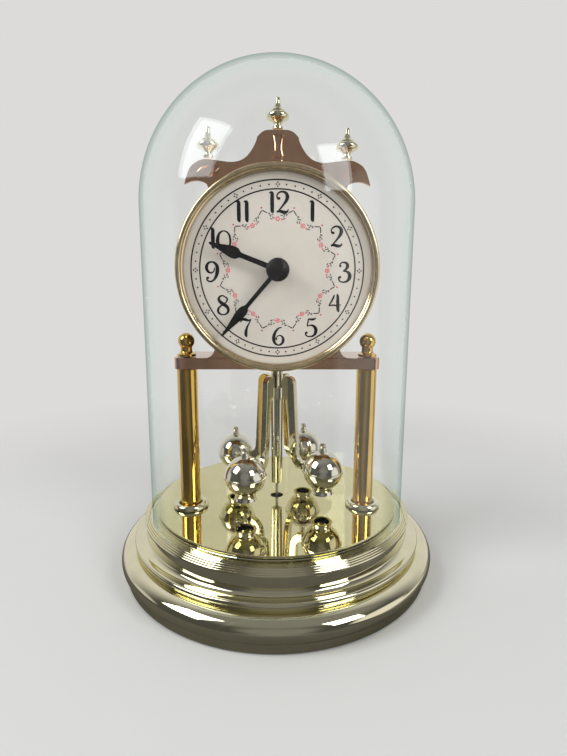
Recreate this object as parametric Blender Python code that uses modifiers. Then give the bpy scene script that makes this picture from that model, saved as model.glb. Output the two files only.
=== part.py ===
"""Anniversary clock: a quartz clock with a revolving four-ball pendulum under a glass dome.

Metres, +Z up. The dial faces -Y, and the origin is under the middle of the base.
"""

import math

import bmesh
import bpy
from mathutils import Matrix, Vector

# Fits, and how far a cut runs past what it cuts
CLEARANCE = 0.0003
OVERRUN = 0.0010
MERGE_DISTANCE = 0.000001

# Foot pads, the bottom cover with its screws, and the ballast
PAD_COUNT = 4
PAD_RADIUS = 0.0045
PAD_HEIGHT = 0.0009
PAD_EDGE_MARGIN = 0.0048
COVER_THICKNESS = 0.0030
COVER_BOTTOM_Z = PAD_HEIGHT + CLEARANCE
COVER_TOP_Z = COVER_BOTTOM_Z + COVER_THICKNESS
COVER_SCREW_COUNT = 3
SCREW_HEAD_RADIUS = 0.0030
SCREW_HEAD_HEIGHT = 0.0011
SCREW_HEAD_RECESS = 0.0002
SCREW_SHANK_RADIUS = 0.0011
SCREW_LENGTH = 0.0120
SCREW_BOSS_RADIUS = 0.0040
SCREW_BOSS_SIDE_GAP = 0.0024
BALLAST_SIDE_GAP = 0.0020
BALLAST_INNER_RADIUS = 0.0100
BALLAST_HEIGHT = 0.0060

# Heights of the turned base, from the lip on the table up to the platform in the dome
BASE_WALL = 0.0022
BASE_STEPS = 32
LIP_BOTTOM_Z = 0.0006
FLARE_CENTRE_Z = 0.0085
FLARE_HALF_HEIGHT = 0.0055
FLARE_UNDERCUT_ANGLE = math.radians(-38.0)
GROOVE_HEIGHT = 0.0010
BEAD_HEIGHT = 0.0026
COVE_HEIGHT = 0.0022
BAND_HEIGHT = 0.0053
RIM_EDGE_HEIGHT = 0.0008
RIM_SLOPE_HEIGHT = 0.0021
RIM_RIDGES = 4
RIM_RIDGE_HEIGHT = 0.0003
PLATFORM_HEIGHT = 0.0024
GROOVE_BOTTOM_Z = FLARE_CENTRE_Z + FLARE_HALF_HEIGHT
BEAD_BOTTOM_Z = GROOVE_BOTTOM_Z + GROOVE_HEIGHT
COVE_BOTTOM_Z = BEAD_BOTTOM_Z + BEAD_HEIGHT
BAND_BOTTOM_Z = COVE_BOTTOM_Z + COVE_HEIGHT
RIM_BOTTOM_Z = BAND_BOTTOM_Z + BAND_HEIGHT
RIM_EDGE_Z = RIM_BOTTOM_Z + RIM_EDGE_HEIGHT
RIM_TOP_Z = RIM_EDGE_Z + RIM_SLOPE_HEIGHT
CHANNEL_DEPTH = 0.0014
CHANNEL_FLOOR_Z = RIM_TOP_Z - CHANNEL_DEPTH
PLATFORM_TOP_Z = CHANNEL_FLOOR_Z + PLATFORM_HEIGHT
PLATFORM_UNDERSIDE_Z = PLATFORM_TOP_Z - BASE_WALL

# Mirror plate on the platform, with the guide cup under its hole
MIRROR_THICKNESS = 0.0012
MIRROR_EDGE_STEP = 0.0002
MIRROR_BOTTOM_Z = PLATFORM_TOP_Z + CLEARANCE
MIRROR_TOP_Z = MIRROR_BOTTOM_Z + MIRROR_THICKNESS
GUIDE_HOLE_RADIUS = 0.0031
GUIDE_WALL = 0.0009
GUIDE_DEPTH = 0.0069
GUIDE_FLANGE_WIDTH = 0.0030
GUIDE_FLANGE_THICKNESS = 0.0008
GUIDE_OUTER_RADIUS = GUIDE_HOLE_RADIUS + GUIDE_WALL
GUIDE_FLANGE_TOP_Z = PLATFORM_UNDERSIDE_Z - CLEARANCE

# Columns with their foot collars and tie rods
COLUMN_RADIUS = 0.00465
COLUMN_HEIGHT = 0.0666
COLUMN_BOTTOM_Z = MIRROR_TOP_Z + CLEARANCE
COLUMN_TOP_Z = COLUMN_BOTTOM_Z + COLUMN_HEIGHT
COLLAR_INNER_RADIUS = COLUMN_RADIUS + CLEARANCE
COLLAR_WIDTH = 0.00325
COLLAR_OUTER_RADIUS = COLLAR_INNER_RADIUS + COLLAR_WIDTH
COLLAR_HEIGHT = 0.0024
TIE_ROD_RADIUS = 0.0015
TIE_ROD_PLAY = 0.0004
COLUMN_BORE_RADIUS = TIE_ROD_RADIUS + TIE_ROD_PLAY
TIE_NUT_WALL = 0.0015
TIE_NUT_RADIUS = TIE_ROD_RADIUS + TIE_NUT_WALL
TIE_NUT_HEIGHT = 0.0024
TIE_ROD_TAIL = 0.0012
TIE_NUT_TOP_Z = PLATFORM_UNDERSIDE_Z - CLEARANCE
TIE_NUT_BOTTOM_Z = TIE_NUT_TOP_Z - TIE_NUT_HEIGHT
TIE_ROD_BOTTOM_Z = TIE_NUT_BOTTOM_Z - TIE_ROD_TAIL

# Top bridge: a bar with a raised middle behind the bezel
BRIDGE_FRONT_Y = -0.0174
BRIDGE_BACK_Y = 0.0086
BRIDGE_THICKNESS = 0.0051
BRIDGE_CORNER = 0.0030
BRIDGE_BOTTOM_Z = COLUMN_TOP_Z + CLEARANCE
BRIDGE_TOP_Z = BRIDGE_BOTTOM_Z + BRIDGE_THICKNESS
UPSTAND_FILLET = 0.0045
UPSTAND_HEIGHT = 0.0058
UPSTAND_THICKNESS = 0.0017
UPSTAND_PROUD = 0.0001
UPSTAND_TOP_Z = BRIDGE_TOP_Z + UPSTAND_HEIGHT

# Ball finials screwed on the tie rods
FINIAL_NECK_WALL = 0.0010
FINIAL_NECK_RADIUS = TIE_ROD_RADIUS + FINIAL_NECK_WALL
FINIAL_FLARE_WIDTH = 0.0018
FINIAL_CUP_RADIUS = FINIAL_NECK_RADIUS + FINIAL_FLARE_WIDTH
FINIAL_CUP_HEIGHT = 0.0010
FINIAL_NECK_Z_RISE = 0.0031
FINIAL_BALL_RADIUS = 0.00375
FINIAL_BOTTOM_Z = BRIDGE_TOP_Z + CLEARANCE
FINIAL_BALL_Z = FINIAL_BOTTOM_Z + FINIAL_NECK_Z_RISE + FINIAL_BALL_RADIUS
TIE_ROD_TOP_Z = FINIAL_BALL_Z - TIE_ROD_RADIUS

# Floor of the movement case, which stands on the bridge
CASE_WALL = 0.0015
CASE_BOTTOM_Z = BRIDGE_TOP_Z + CLEARANCE
CASE_FLOOR_Z = CASE_BOTTOM_Z + CASE_WALL

# Pendulum drive: the spindle that hangs in a bush in that floor, its magnet and the coil over it
SPINDLE_RADIUS = 0.0012
SPINDLE_PIN_RADIUS = 0.0007
SPINDLE_BORE_RADIUS = SPINDLE_RADIUS + CLEARANCE
SPINDLE_TIP_DEPTH = 0.0034
BUSH_WALL = 0.0012
BUSH_RADIUS = SPINDLE_BORE_RADIUS + BUSH_WALL
BUSH_FLANGE_WIDTH = 0.0021
BUSH_FLANGE_RADIUS = BUSH_RADIUS + BUSH_FLANGE_WIDTH
BUSH_FLANGE_THICKNESS = 0.0014
BUSH_HOLE_RADIUS = BUSH_RADIUS + CLEARANCE
BUSH_FLANGE_Z = CASE_FLOOR_Z + CLEARANCE
BUSH_TOP_Z = BUSH_FLANGE_Z + BUSH_FLANGE_THICKNESS
MAGNET_RADIUS = 0.0055
MAGNET_HEIGHT = 0.0020
MAGNET_BOTTOM_Z = BUSH_TOP_Z + CLEARANCE
MAGNET_TOP_Z = MAGNET_BOTTOM_Z + MAGNET_HEIGHT
SPINDLE_HEAD_HEIGHT = 0.0006
SPINDLE_HEAD_STEP = 0.0007
SPINDLE_HEAD_RADIUS = SPINDLE_BORE_RADIUS + SPINDLE_HEAD_STEP
SPINDLE_TOP_Z = MAGNET_TOP_Z + CLEARANCE + SPINDLE_HEAD_HEIGHT
COIL_HEIGHT = 0.0036
COIL_HALF_WIDTH = 0.0070
COIL_BOTTOM_Z = SPINDLE_TOP_Z + CLEARANCE
COIL_TOP_Z = COIL_BOTTOM_Z + COIL_HEIGHT

# Wheels: radii are those of the pitch circles
WHEEL_THICKNESS = 0.0008
PINION_LENGTH = 0.0012
ARBOR_RADIUS = 0.0007
CANNON_PINION_RADIUS = 0.0025
REVERSE_RATIO = 3.0
HOUR_RATIO = 4.0
REVERSE_WHEEL_RADIUS = CANNON_PINION_RADIUS * REVERSE_RATIO
REVERSE_DISTANCE = CANNON_PINION_RADIUS + REVERSE_WHEEL_RADIUS + CLEARANCE
REVERSE_PINION_RADIUS = (REVERSE_DISTANCE - CLEARANCE) / (HOUR_RATIO + 1)
HOUR_WHEEL_RADIUS = REVERSE_PINION_RADIUS * HOUR_RATIO
SETTING_PINION_RADIUS = CANNON_PINION_RADIUS
SETTING_DISTANCE = REVERSE_WHEEL_RADIUS + SETTING_PINION_RADIUS + CLEARANCE
THIRD_PINION_RADIUS = 0.0015
THIRD_RATIO = 6.0
CENTRE_WHEEL_RADIUS = THIRD_PINION_RADIUS * THIRD_RATIO
THIRD_DISTANCE = CENTRE_WHEEL_RADIUS + THIRD_PINION_RADIUS + CLEARANCE
THIRD_WHEEL_RADIUS = 0.0060
MOTOR_PINION_RADIUS = 0.0012
MOTOR_DISTANCE = THIRD_WHEEL_RADIUS + MOTOR_PINION_RADIUS + CLEARANCE

# Battery across the case between the coil and the wheels, with contacts at its ends
BATTERY_RADIUS = 0.00725
BATTERY_LENGTH = 0.0494
BATTERY_NUB_RADIUS = 0.0027
BATTERY_NUB_LENGTH = 0.0010
BATTERY_BACK_GAP = 0.0006
BATTERY_COIL_GAP = 0.0037
BATTERY_DROP = 0.0004
BATTERY_Z = COIL_TOP_Z + BATTERY_COIL_GAP + BATTERY_RADIUS
CONTACT_THICKNESS = 0.0004
CONTACT_WIDTH = 0.0080
CONTACT_PLAY = 0.0001

# Dial, bezel and crest plate, all square to -Y; a depth is measured forwards from Y = 0
DIAL_Z = BATTERY_Z + BATTERY_RADIUS + BATTERY_DROP + CENTRE_WHEEL_RADIUS
REVERSE_Z = DIAL_Z + REVERSE_DISTANCE
SETTING_Z = REVERSE_Z + SETTING_DISTANCE
BEZEL_RADIUS = DIAL_Z - BRIDGE_BOTTOM_Z
BEZEL_WIDTH = 0.0031
BEZEL_OPENING_RADIUS = BEZEL_RADIUS - BEZEL_WIDTH
BEZEL_CROWN_HEIGHT = 0.0020
BEZEL_REBATE_WALL = 0.0014
BEZEL_REBATE_RADIUS = BEZEL_RADIUS - BEZEL_REBATE_WALL
CREST_DEPTH = -BRIDGE_FRONT_Y
CREST_THICKNESS = UPSTAND_THICKNESS
CREST_DISC_INSET = 0.0007
CREST_DISC_RADIUS = BEZEL_RADIUS - CREST_DISC_INSET
CREST_WING_INSET = 0.0041
CREST_HALF_WIDTH = BEZEL_RADIUS - CREST_WING_INSET
CREST_CROWN_RISE = 0.0137
CREST_RISE = BEZEL_RADIUS + CREST_CROWN_RISE
BEZEL_BACK_DEPTH = CREST_DEPTH + CLEARANCE
CARRIER_THICKNESS = 0.0013
DIAL_THICKNESS = 0.0004
CARRIER_FRONT_DEPTH = BEZEL_BACK_DEPTH + CARRIER_THICKNESS
DIAL_BACK_DEPTH = CARRIER_FRONT_DEPTH + CLEARANCE
DIAL_FRONT_DEPTH = DIAL_BACK_DEPTH + DIAL_THICKNESS
BEZEL_RECESS = 0.0024
BEZEL_CROWN_DEPTH = DIAL_FRONT_DEPTH + CLEARANCE + BEZEL_RECESS
DIAL_RADIUS = BEZEL_REBATE_RADIUS - CLEARANCE
DIAL_STEPS = 32

# Crest outline, half of it, as shares of CREST_HALF_WIDTH and of CREST_RISE above the dial centre
CROWN_FLAT_SHARES = ((0.0, 1.0), (0.105, 1.0))
CROWN_SIDE_SHARES = ((0.213, 0.951), (0.245, 0.921), (0.304, 0.854), (0.395, 0.805), (0.515, 0.784),
                     (0.670, 0.798))
WING_TOP_SHARES = ((0.800, 0.798), (0.885, 0.772), (0.947, 0.728), (0.985, 0.675), (1.0, 0.618))
WING_UNDERSIDE_SHARES = ((0.930, 0.640), (0.860, 0.648), (0.770, 0.632))
SMOOTH_STEPS = 3

# Urn finials on the crest
URN_HEIGHT = 0.0123
URN_RADIUS = 0.0047
URN_SIDE_INSET = 0.0102
URN_SIDE_X = CREST_HALF_WIDTH - URN_SIDE_INSET
URN_SHARES = ((0.0, 1.0), (0.20, 0.99), (0.22, 0.80), (0.42, 0.64), (0.62, 0.61), (1.0, 0.52),
              (1.0, 0.39), (0.62, 0.26), (0.32, 0.20), (0.30, 0.14), (0.47, 0.09), (0.47, 0.0), (0.0, 0.0))
URN_STEPS = 12

# Bridge and columns across: the bridge lies under the bezel, and a column stands near each end
UPSTAND_INSET = 0.0108
UPSTAND_HALF_WIDTH = BEZEL_RADIUS - UPSTAND_INSET
COLUMN_INSET = 0.0019
COLUMN_X = BEZEL_RADIUS - COLUMN_INSET
COLUMN_SETBACK = 0.0054
COLUMN_Y = BRIDGE_FRONT_Y + COLUMN_SETBACK
BRIDGE_END_WIDTH = 0.0041
BRIDGE_HALF_WIDTH = COLUMN_X + BRIDGE_END_WIDTH

# Radii from the columns outwards: platform, glass dome, then each ring of the turned base
PLATFORM_MARGIN = 0.0090
PLATFORM_RADIUS = COLUMN_X + COLLAR_OUTER_RADIUS + PLATFORM_MARGIN
MIRROR_RADIUS = PLATFORM_RADIUS - MIRROR_EDGE_STEP
DOME_WALL = 0.0018
DOME_SIDE_PLAY = 0.0008
DOME_INNER_RADIUS = PLATFORM_RADIUS + DOME_SIDE_PLAY
DOME_RADIUS = DOME_INNER_RADIUS + DOME_WALL
CHANNEL_OUTER_RADIUS = DOME_RADIUS + DOME_SIDE_PLAY
RIM_WIDTH = 0.0028
RIM_RADIUS = CHANNEL_OUTER_RADIUS + RIM_WIDTH
RIM_OVERHANG = 0.0007
BAND_RADIUS = RIM_RADIUS - RIM_OVERHANG
COVE_WIDTH = 0.0033
COVE_STEP = 0.0010
GROOVE_RADIUS = BAND_RADIUS + COVE_WIDTH + COVE_STEP
BEAD_BULGE = 0.0012
GROOVE_SHELF = 0.0016
FLARE_CENTRE_RADIUS = GROOVE_RADIUS + GROOVE_SHELF
FLARE_WIDTH = 0.0060
BASE_RADIUS = FLARE_CENTRE_RADIUS + FLARE_WIDTH
LIP_SETBACK = 0.0022
LIP_RADIUS = BASE_RADIUS - LIP_SETBACK
COVER_RADIUS = LIP_RADIUS - BASE_WALL - CLEARANCE
PAD_CIRCLE_RADIUS = COVER_RADIUS - PAD_EDGE_MARGIN - PAD_RADIUS
COVER_SCREW_CIRCLE_RADIUS = PLATFORM_RADIUS - BASE_WALL - SCREW_BOSS_SIDE_GAP - SCREW_BOSS_RADIUS
BALLAST_OUTER_RADIUS = COVER_SCREW_CIRCLE_RADIUS - SCREW_BOSS_RADIUS - BALLAST_SIDE_GAP

# Height of the glass dome, which stands in the channel and clears the top urn
DOME_HEADROOM = 0.0165
DOME_BOTTOM_Z = CHANNEL_FLOOR_Z + CLEARANCE
URN_TOP_Z = DIAL_Z + CREST_RISE + CLEARANCE + URN_HEIGHT
DOME_HEIGHT = URN_TOP_Z + DOME_HEADROOM + DOME_WALL - DOME_BOTTOM_Z
DOME_TOP_Z = DOME_BOTTOM_Z + DOME_HEIGHT
DOME_SHOULDER_Z = DOME_TOP_Z - DOME_RADIUS
DOME_STEPS = 28
DOME_ARC_POINTS = 7

# Quartz movement behind the crest plate
SETTING_HEADROOM = 0.0015
CASE_CEILING_Z = SETTING_Z + SETTING_PINION_RADIUS + SETTING_HEADROOM
CASE_HEIGHT = CASE_CEILING_Z + CASE_WALL - CASE_BOTTOM_Z
CASE_TOP_Z = CASE_BOTTOM_Z + CASE_HEIGHT
CASE_FRONT_DEPTH = CREST_DEPTH - CREST_THICKNESS - CLEARANCE
CASE_BACK_DEPTH = -BRIDGE_BACK_Y
CASE_INNER_FRONT_DEPTH = CASE_FRONT_DEPTH - CASE_WALL
CASE_INNER_BACK_DEPTH = CASE_BACK_DEPTH + CASE_WALL
ARBOR_END_DEPTH = CASE_INNER_BACK_DEPTH + CLEARANCE
ARBOR_HEAD_DEPTH = CASE_INNER_FRONT_DEPTH - CLEARANCE
BATTERY_DEPTH = CASE_INNER_BACK_DEPTH + BATTERY_BACK_GAP + BATTERY_RADIUS

# Centre bushing, its nut and the shafts in it
CENTRE_ARBOR_RADIUS = 0.0013
HOUR_PIPE_BORE_RADIUS = CENTRE_ARBOR_RADIUS + CLEARANCE
HOUR_PIPE_WALL = 0.0009
HOUR_PIPE_RADIUS = HOUR_PIPE_BORE_RADIUS + HOUR_PIPE_WALL
HOUR_PIPE_PLAY = 0.0004
BUSHING_BORE_RADIUS = HOUR_PIPE_RADIUS + HOUR_PIPE_PLAY
BUSHING_WALL = 0.0011
BUSHING_RADIUS = BUSHING_BORE_RADIUS + BUSHING_WALL
BUSHING_FLANGE_WIDTH = 0.0020
BUSHING_FLANGE_RADIUS = BUSHING_RADIUS + BUSHING_FLANGE_WIDTH
BUSHING_FLANGE_THICKNESS = 0.0018
BUSHING_FLANGE_DEPTH = CASE_INNER_FRONT_DEPTH - CLEARANCE
BUSHING_FRONT_DEPTH = CARRIER_FRONT_DEPTH
FIXING_NUT_WALL = 0.0022
FIXING_NUT_RADIUS = BUSHING_RADIUS + FIXING_NUT_WALL
FIXING_NUT_PLAY = 0.0008
CARRIER_HOLE_RADIUS = FIXING_NUT_RADIUS + FIXING_NUT_PLAY
DIAL_HOLE_RADIUS = BUSHING_BORE_RADIUS

# Stages, a wheel's place along the shafts, from the bushing's flange backwards
BUSHING_STAGE_GAP = 0.0018
HOUR_STAGE_GAP = 0.0010
CANNON_STAGE_GAP = 0.0016
CENTRE_STAGE_GAP = 0.0008
HOUR_STAGE_FRONT_DEPTH = BUSHING_FLANGE_DEPTH - BUSHING_FLANGE_THICKNESS - BUSHING_STAGE_GAP
HOUR_STAGE_DEPTH = HOUR_STAGE_FRONT_DEPTH - WHEEL_THICKNESS
CANNON_STAGE_DEPTH = HOUR_STAGE_DEPTH - HOUR_STAGE_GAP - WHEEL_THICKNESS
CENTRE_STAGE_DEPTH = CANNON_STAGE_DEPTH - CANNON_STAGE_GAP - WHEEL_THICKNESS
THIRD_STAGE_DEPTH = CENTRE_STAGE_DEPTH - CENTRE_STAGE_GAP - WHEEL_THICKNESS
STAGE_OVERLAP = 0.0002

# Stepping motor, its body beside the third wheel
MOTOR_WIDTH = 0.0090
MOTOR_HEIGHT = 0.0130
MOTOR_BACK_GAP = 0.0004
MOTOR_BACK_DEPTH = CENTRE_STAGE_DEPTH + WHEEL_THICKNESS + MOTOR_BACK_GAP
MOTOR_PINION_MARGIN = 0.0011
MOTOR_PINION_X = THIRD_DISTANCE + MOTOR_DISTANCE
MOTOR_LEFT_X = MOTOR_PINION_X - MOTOR_PINION_MARGIN
MOTOR_RIGHT_X = MOTOR_LEFT_X + MOTOR_WIDTH

# Width of the case, which takes the battery with its contacts and the motor
BATTERY_REACH = BATTERY_LENGTH / 2 + BATTERY_NUB_LENGTH
BATTERY_BAY_HALF_WIDTH = BATTERY_REACH + CLEARANCE + CONTACT_THICKNESS + CONTACT_PLAY
CASE_INNER_HALF_WIDTH = max(BATTERY_BAY_HALF_WIDTH, MOTOR_RIGHT_X + CLEARANCE)
CASE_HALF_WIDTH = CASE_INNER_HALF_WIDTH + CASE_WALL
BATTERY_DOOR_SIDE_MARGIN = 0.0018
BATTERY_DOOR_HALF_WIDTH = CASE_HALF_WIDTH - BATTERY_DOOR_SIDE_MARGIN
BATTERY_DOOR_MARGIN = 0.00055
BATTERY_DOOR_HALF_HEIGHT = BATTERY_RADIUS + BATTERY_DOOR_MARGIN
BATTERY_GRIP_WIDTH = 0.0120
BATTERY_GRIP_HEIGHT = 0.0016
BATTERY_GRIP_DEPTH = 0.0010

# Circuit board beside the wheels
BOARD_WIDTH = 0.0130
BOARD_HEIGHT = 0.0280
BOARD_THICKNESS = 0.0010
BOARD_SIDE_GAP = 0.0010
BOARD_BOTTOM_Z = DIAL_Z - 0.5 * BOARD_HEIGHT + THIRD_WHEEL_RADIUS

# Setting knob on the back
KNOB_RADIUS = 0.0055
KNOB_HEIGHT = 0.0036
SETTING_SHAFT_RADIUS = 0.0012
KNOB_HUB_STEP = 0.0004
KNOB_HUB_RADIUS = SETTING_SHAFT_RADIUS + KNOB_HUB_STEP
SETTING_HOLE_RADIUS = SETTING_SHAFT_RADIUS + CLEARANCE

# Hands, drawn along their length from the shaft
HAND_THICKNESS = 0.0006
MINUTE_HAND_MARGIN = 0.0035
MINUTE_HAND_LENGTH = BEZEL_OPENING_RADIUS - MINUTE_HAND_MARGIN
MINUTE_HAND_WIDTH = 0.0040
MINUTE_HAND_BOSS_WALL = 0.0023
MINUTE_HAND_BOSS_RADIUS = CENTRE_ARBOR_RADIUS + MINUTE_HAND_BOSS_WALL
MINUTE_HAND_ANGLE = math.radians(-130.7)
HAND_LENGTH_STEP = 0.0060
HOUR_HAND_LENGTH = MINUTE_HAND_LENGTH - HAND_LENGTH_STEP
HOUR_HAND_WIDTH = 0.0050
HOUR_HAND_BOSS_WALL = 0.0017
HOUR_HAND_BOSS_RADIUS = HOUR_PIPE_RADIUS + HOUR_HAND_BOSS_WALL
HOUR_HAND_ANGLE = math.radians(159.0)
HOUR_HAND_STANDOFF = 0.0037
HOUR_HAND_DEPTH = DIAL_FRONT_DEPTH + HOUR_HAND_STANDOFF
MINUTE_HAND_GAP = 0.0010
MINUTE_HAND_DEPTH = HOUR_HAND_DEPTH + HAND_THICKNESS + MINUTE_HAND_GAP
HUB_CAP_RADIUS = 0.0049
HUB_CAP_HEIGHT = 0.0025
HUB_CAP_WALL = 0.0008
HUB_CAP_DEPTH = MINUTE_HAND_DEPTH + HAND_THICKNESS + CLEARANCE
HUB_CAP_FRONT_DEPTH = HUB_CAP_DEPTH + HUB_CAP_HEIGHT
ARBOR_FRONT_DEPTH = HUB_CAP_FRONT_DEPTH - HUB_CAP_WALL - CLEARANCE
HAND_OUTLINE_SHARES = ((0.10, 0.21), (0.46, 0.21), (0.52, 0.30), (0.60, 0.47), (0.66, 0.50), (0.72, 0.44),
                       (0.82, 0.24), (0.92, 0.09), (1.0, 0.02))

# Revolving pendulum on the clock's axis: sleeve, hub and fluted column
SLEEVE_WALL = 0.00145
SLEEVE_RADIUS = SPINDLE_BORE_RADIUS + SLEEVE_WALL
SLEEVE_LENGTH = 0.0120
SLEEVE_TOP_Z = BRIDGE_BOTTOM_Z - CLEARANCE
SLEEVE_BOTTOM_Z = SLEEVE_TOP_Z - SLEEVE_LENGTH
HUB_WALL = 0.00135
HUB_RADIUS = SLEEVE_RADIUS + CLEARANCE + HUB_WALL
HUB_SOCKET_DEPTH = 0.0016
HUB_HEIGHT = 0.0058
HUB_TOP_Z = SLEEVE_BOTTOM_Z - CLEARANCE + HUB_SOCKET_DEPTH
HUB_BOTTOM_Z = HUB_TOP_Z - HUB_HEIGHT
FLUTED_TOP_RADIUS = 0.0034
FLUTED_BOTTOM_RADIUS = 0.0028
FLUTE_COUNT = 8
FLUTE_DEPTH = 0.0005
FLUTE_POINTS = 4
FLUTED_FOOT_RISE = 0.0071
FLUTED_TOP_Z = HUB_BOTTOM_Z - CLEARANCE
FLUTED_LENGTH = FLUTED_TOP_Z - MIRROR_TOP_Z - FLUTED_FOOT_RISE
FLUTED_BOTTOM_Z = FLUTED_TOP_Z - FLUTED_LENGTH

# Balls, which pass inside the columns, and the arms that carry them
BALL_COUNT = 4
BALL_FIRST_ANGLE = math.radians(235.8)
BALL_RADIUS = 0.0094
BALL_COLUMN_GAP = 0.00135
BALL_CIRCLE_RADIUS = COLUMN_X - COLUMN_RADIUS - BALL_COLUMN_GAP - BALL_RADIUS
BALL_RISE = 0.0184
BALL_Z = MIRROR_TOP_Z + BALL_RISE
BALL_SEAM_WIDTH = 0.0004
BALL_SEAM_HEIGHT = 0.0008
BALL_NUB_RADIUS = 0.0016
BALL_NUB_HEIGHT = 0.0040
BALL_NUB_SHARES = ((0.0, 1.0), (0.5, 1.0), (1.0, 0.83), (1.0, 0.67), (0.7, 0.50), (1.0, 0.33))
BALL_COLLAR_RADIUS = 0.0037
BALL_COLLAR_HEIGHT = 0.0024
BALL_COLLAR_WALL = 0.0010
BALL_COLLAR_BORE_RADIUS = BALL_COLLAR_RADIUS - BALL_COLLAR_WALL
BALL_COLLAR_BORE_DEPTH = 0.0030
BALL_STEPS = 16
BALL_ARC_POINTS = 4
ARM_WIDTH = 0.0031
ARM_DEPTH = 0.0037
ARM_RISE = 0.0058
ARM_SHOULDER_ANGLE = math.radians(144.0)
ARM_REACH = 0.0058
ARM_TOP_RADIUS = HUB_RADIUS + ARM_REACH
ARM_SPLAY = 0.0019
ARM_FOOT_RADIUS = ARM_TOP_RADIUS + ARM_SPLAY
ARM_FOOT_RISE = 0.0064
ARM_TIP_HALF_HEIGHT = 0.0022
ARM_TIP_RADIUS = BALL_CIRCLE_RADIUS - BALL_RADIUS - BALL_SEAM_WIDTH - CLEARANCE
ARM_TOP_Z = HUB_TOP_Z + ARM_RISE

# Steps round the smaller turned pieces
ROUND_STEPS = 16
SMALL_STEPS = 12
HEX_STEPS = 6

# Finishes: colour, roughness, metallic and, for glass, opacity
FINISHES = {
    "champagne_metal": ((0.78, 0.71, 0.55), 0.12, 1.0, 1.0),
    "mirror_metal": ((0.80, 0.76, 0.64), 0.05, 1.0, 1.0),
    "column_brass": ((0.72, 0.50, 0.16), 0.18, 1.0, 1.0),
    "brass": ((0.70, 0.55, 0.25), 0.25, 1.0, 1.0),
    "black_hand": ((0.02, 0.02, 0.02), 0.45, 0.0, 1.0),
    "dial_cream": ((0.86, 0.83, 0.75), 0.55, 0.0, 1.0),
    "black_plastic": ((0.03, 0.03, 0.03), 0.40, 0.0, 1.0),
    "white_plastic": ((0.80, 0.80, 0.77), 0.45, 0.0, 1.0),
    "steel": ((0.55, 0.55, 0.55), 0.35, 1.0, 1.0),
    "board_green": ((0.05, 0.22, 0.08), 0.50, 0.0, 1.0),
    "felt": ((0.05, 0.10, 0.06), 0.95, 0.0, 1.0),
    "copper_coil": ((0.60, 0.28, 0.12), 0.40, 1.0, 1.0),
    "battery_jacket": ((0.10, 0.10, 0.12), 0.35, 0.0, 1.0),
    "clear_glass": ((0.88, 0.95, 0.92), 0.02, 0.0, 0.25),
}

FRONT_ROTATION = Matrix.Rotation(math.radians(90.0), 4, "X")


def clear_scene():
    """Remove whatever the scene holds."""
    for scene_object in list(bpy.data.objects):
        bpy.data.objects.remove(scene_object, do_unlink=True)


def make_collection(name):
    """Make a collection and link it to the scene."""
    collection = bpy.data.collections.new(name)
    bpy.context.scene.collection.children.link(collection)
    return collection


def make_material(name):
    """Make the Principled material of one finish."""
    colour, roughness, metallic, opacity = FINISHES[name]
    material = bpy.data.materials.new(name)
    material.use_nodes = True
    shader = material.node_tree.nodes["Principled BSDF"]
    shader.inputs["Base Color"].default_value = (*colour, 1.0)
    shader.inputs["Roughness"].default_value = roughness
    shader.inputs["Metallic"].default_value = metallic
    shader.inputs["Alpha"].default_value = opacity
    return material


class Workshop:
    """The collections that hold the parts and the cutters."""

    def __init__(self):
        self.parts = make_collection("anniversary_clock")
        self.cutters = make_collection("cutters")

    def part(self, name, mesh, finish, place=None):
        """Add a finished piece with its own material."""
        material = make_material(finish)
        material.name = name + "_" + finish
        mesh.materials.append(material)
        piece = bpy.data.objects.new(name, mesh)
        piece.matrix_world = place if place else Matrix.Identity(4)
        self.parts.objects.link(piece)
        return piece

    def axis(self, name, pieces, place=None):
        """Hang pieces that move together on an empty on their joint's axis."""
        empty = bpy.data.objects.new(name, None)
        empty.matrix_world = place if place else Matrix.Identity(4)
        self.parts.objects.link(empty)
        for piece in pieces:
            piece.parent = empty
            piece.matrix_parent_inverse = empty.matrix_world.inverted()

    def cutter(self, name, mesh, place=None):
        """Add a shape that only cuts or joins another."""
        tool = bpy.data.objects.new(name, mesh)
        tool.matrix_world = place if place else Matrix.Identity(4)
        tool.hide_render = True
        tool.display_type = "WIRE"
        self.cutters.objects.link(tool)
        return tool


def at(x=0.0, y=0.0, z=0.0):
    """Place upright at a point."""
    return Matrix.Translation((x, y, z))


def facing_front(x=0.0, z=0.0):
    """Place so that local Z points to the front, and heights become depths."""
    return Matrix.Translation((x, 0.0, z)) @ FRONT_ROTATION


def arc(centre_r, centre_z, half_width, half_height, start, end, count):
    """Points of an elliptical arc from one angle to another, ends included."""
    points = []
    for step in range(count + 1):
        angle = start + (end - start) * step / count
        points.append((centre_r + half_width * math.cos(angle), centre_z + half_height * math.sin(angle)))
    return points


def smooth(points, steps):
    """A Catmull-Rom curve through the points."""
    ends = [points[0]] + list(points) + [points[-1]]
    path = []
    for index in range(1, len(ends) - 2):
        before, start, end, after = (Vector(ends[index + offset]) for offset in (-1, 0, 1, 2))
        for step in range(steps):
            t = step / steps
            path.append(0.5 * (2 * start + (end - before) * t
                               + (2 * before - 5 * start + 4 * end - after) * t ** 2
                               + (3 * start - before - 3 * end + after) * t ** 3))
    path.append(Vector(points[-1]))
    return [tuple(point) for point in path]


def profile_mesh(name, profile, closed=False):
    """A mesh of the profile's edges in the XZ plane."""
    mesh = bpy.data.meshes.new(name)
    shape = bmesh.new()
    corners = [shape.verts.new((r, 0.0, z)) for r, z in profile]
    for first, second in zip(corners, corners[1:]):
        shape.edges.new((first, second))
    if closed:
        shape.edges.new((corners[-1], corners[0]))
    shape.to_mesh(mesh)
    shape.free()
    return mesh


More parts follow.
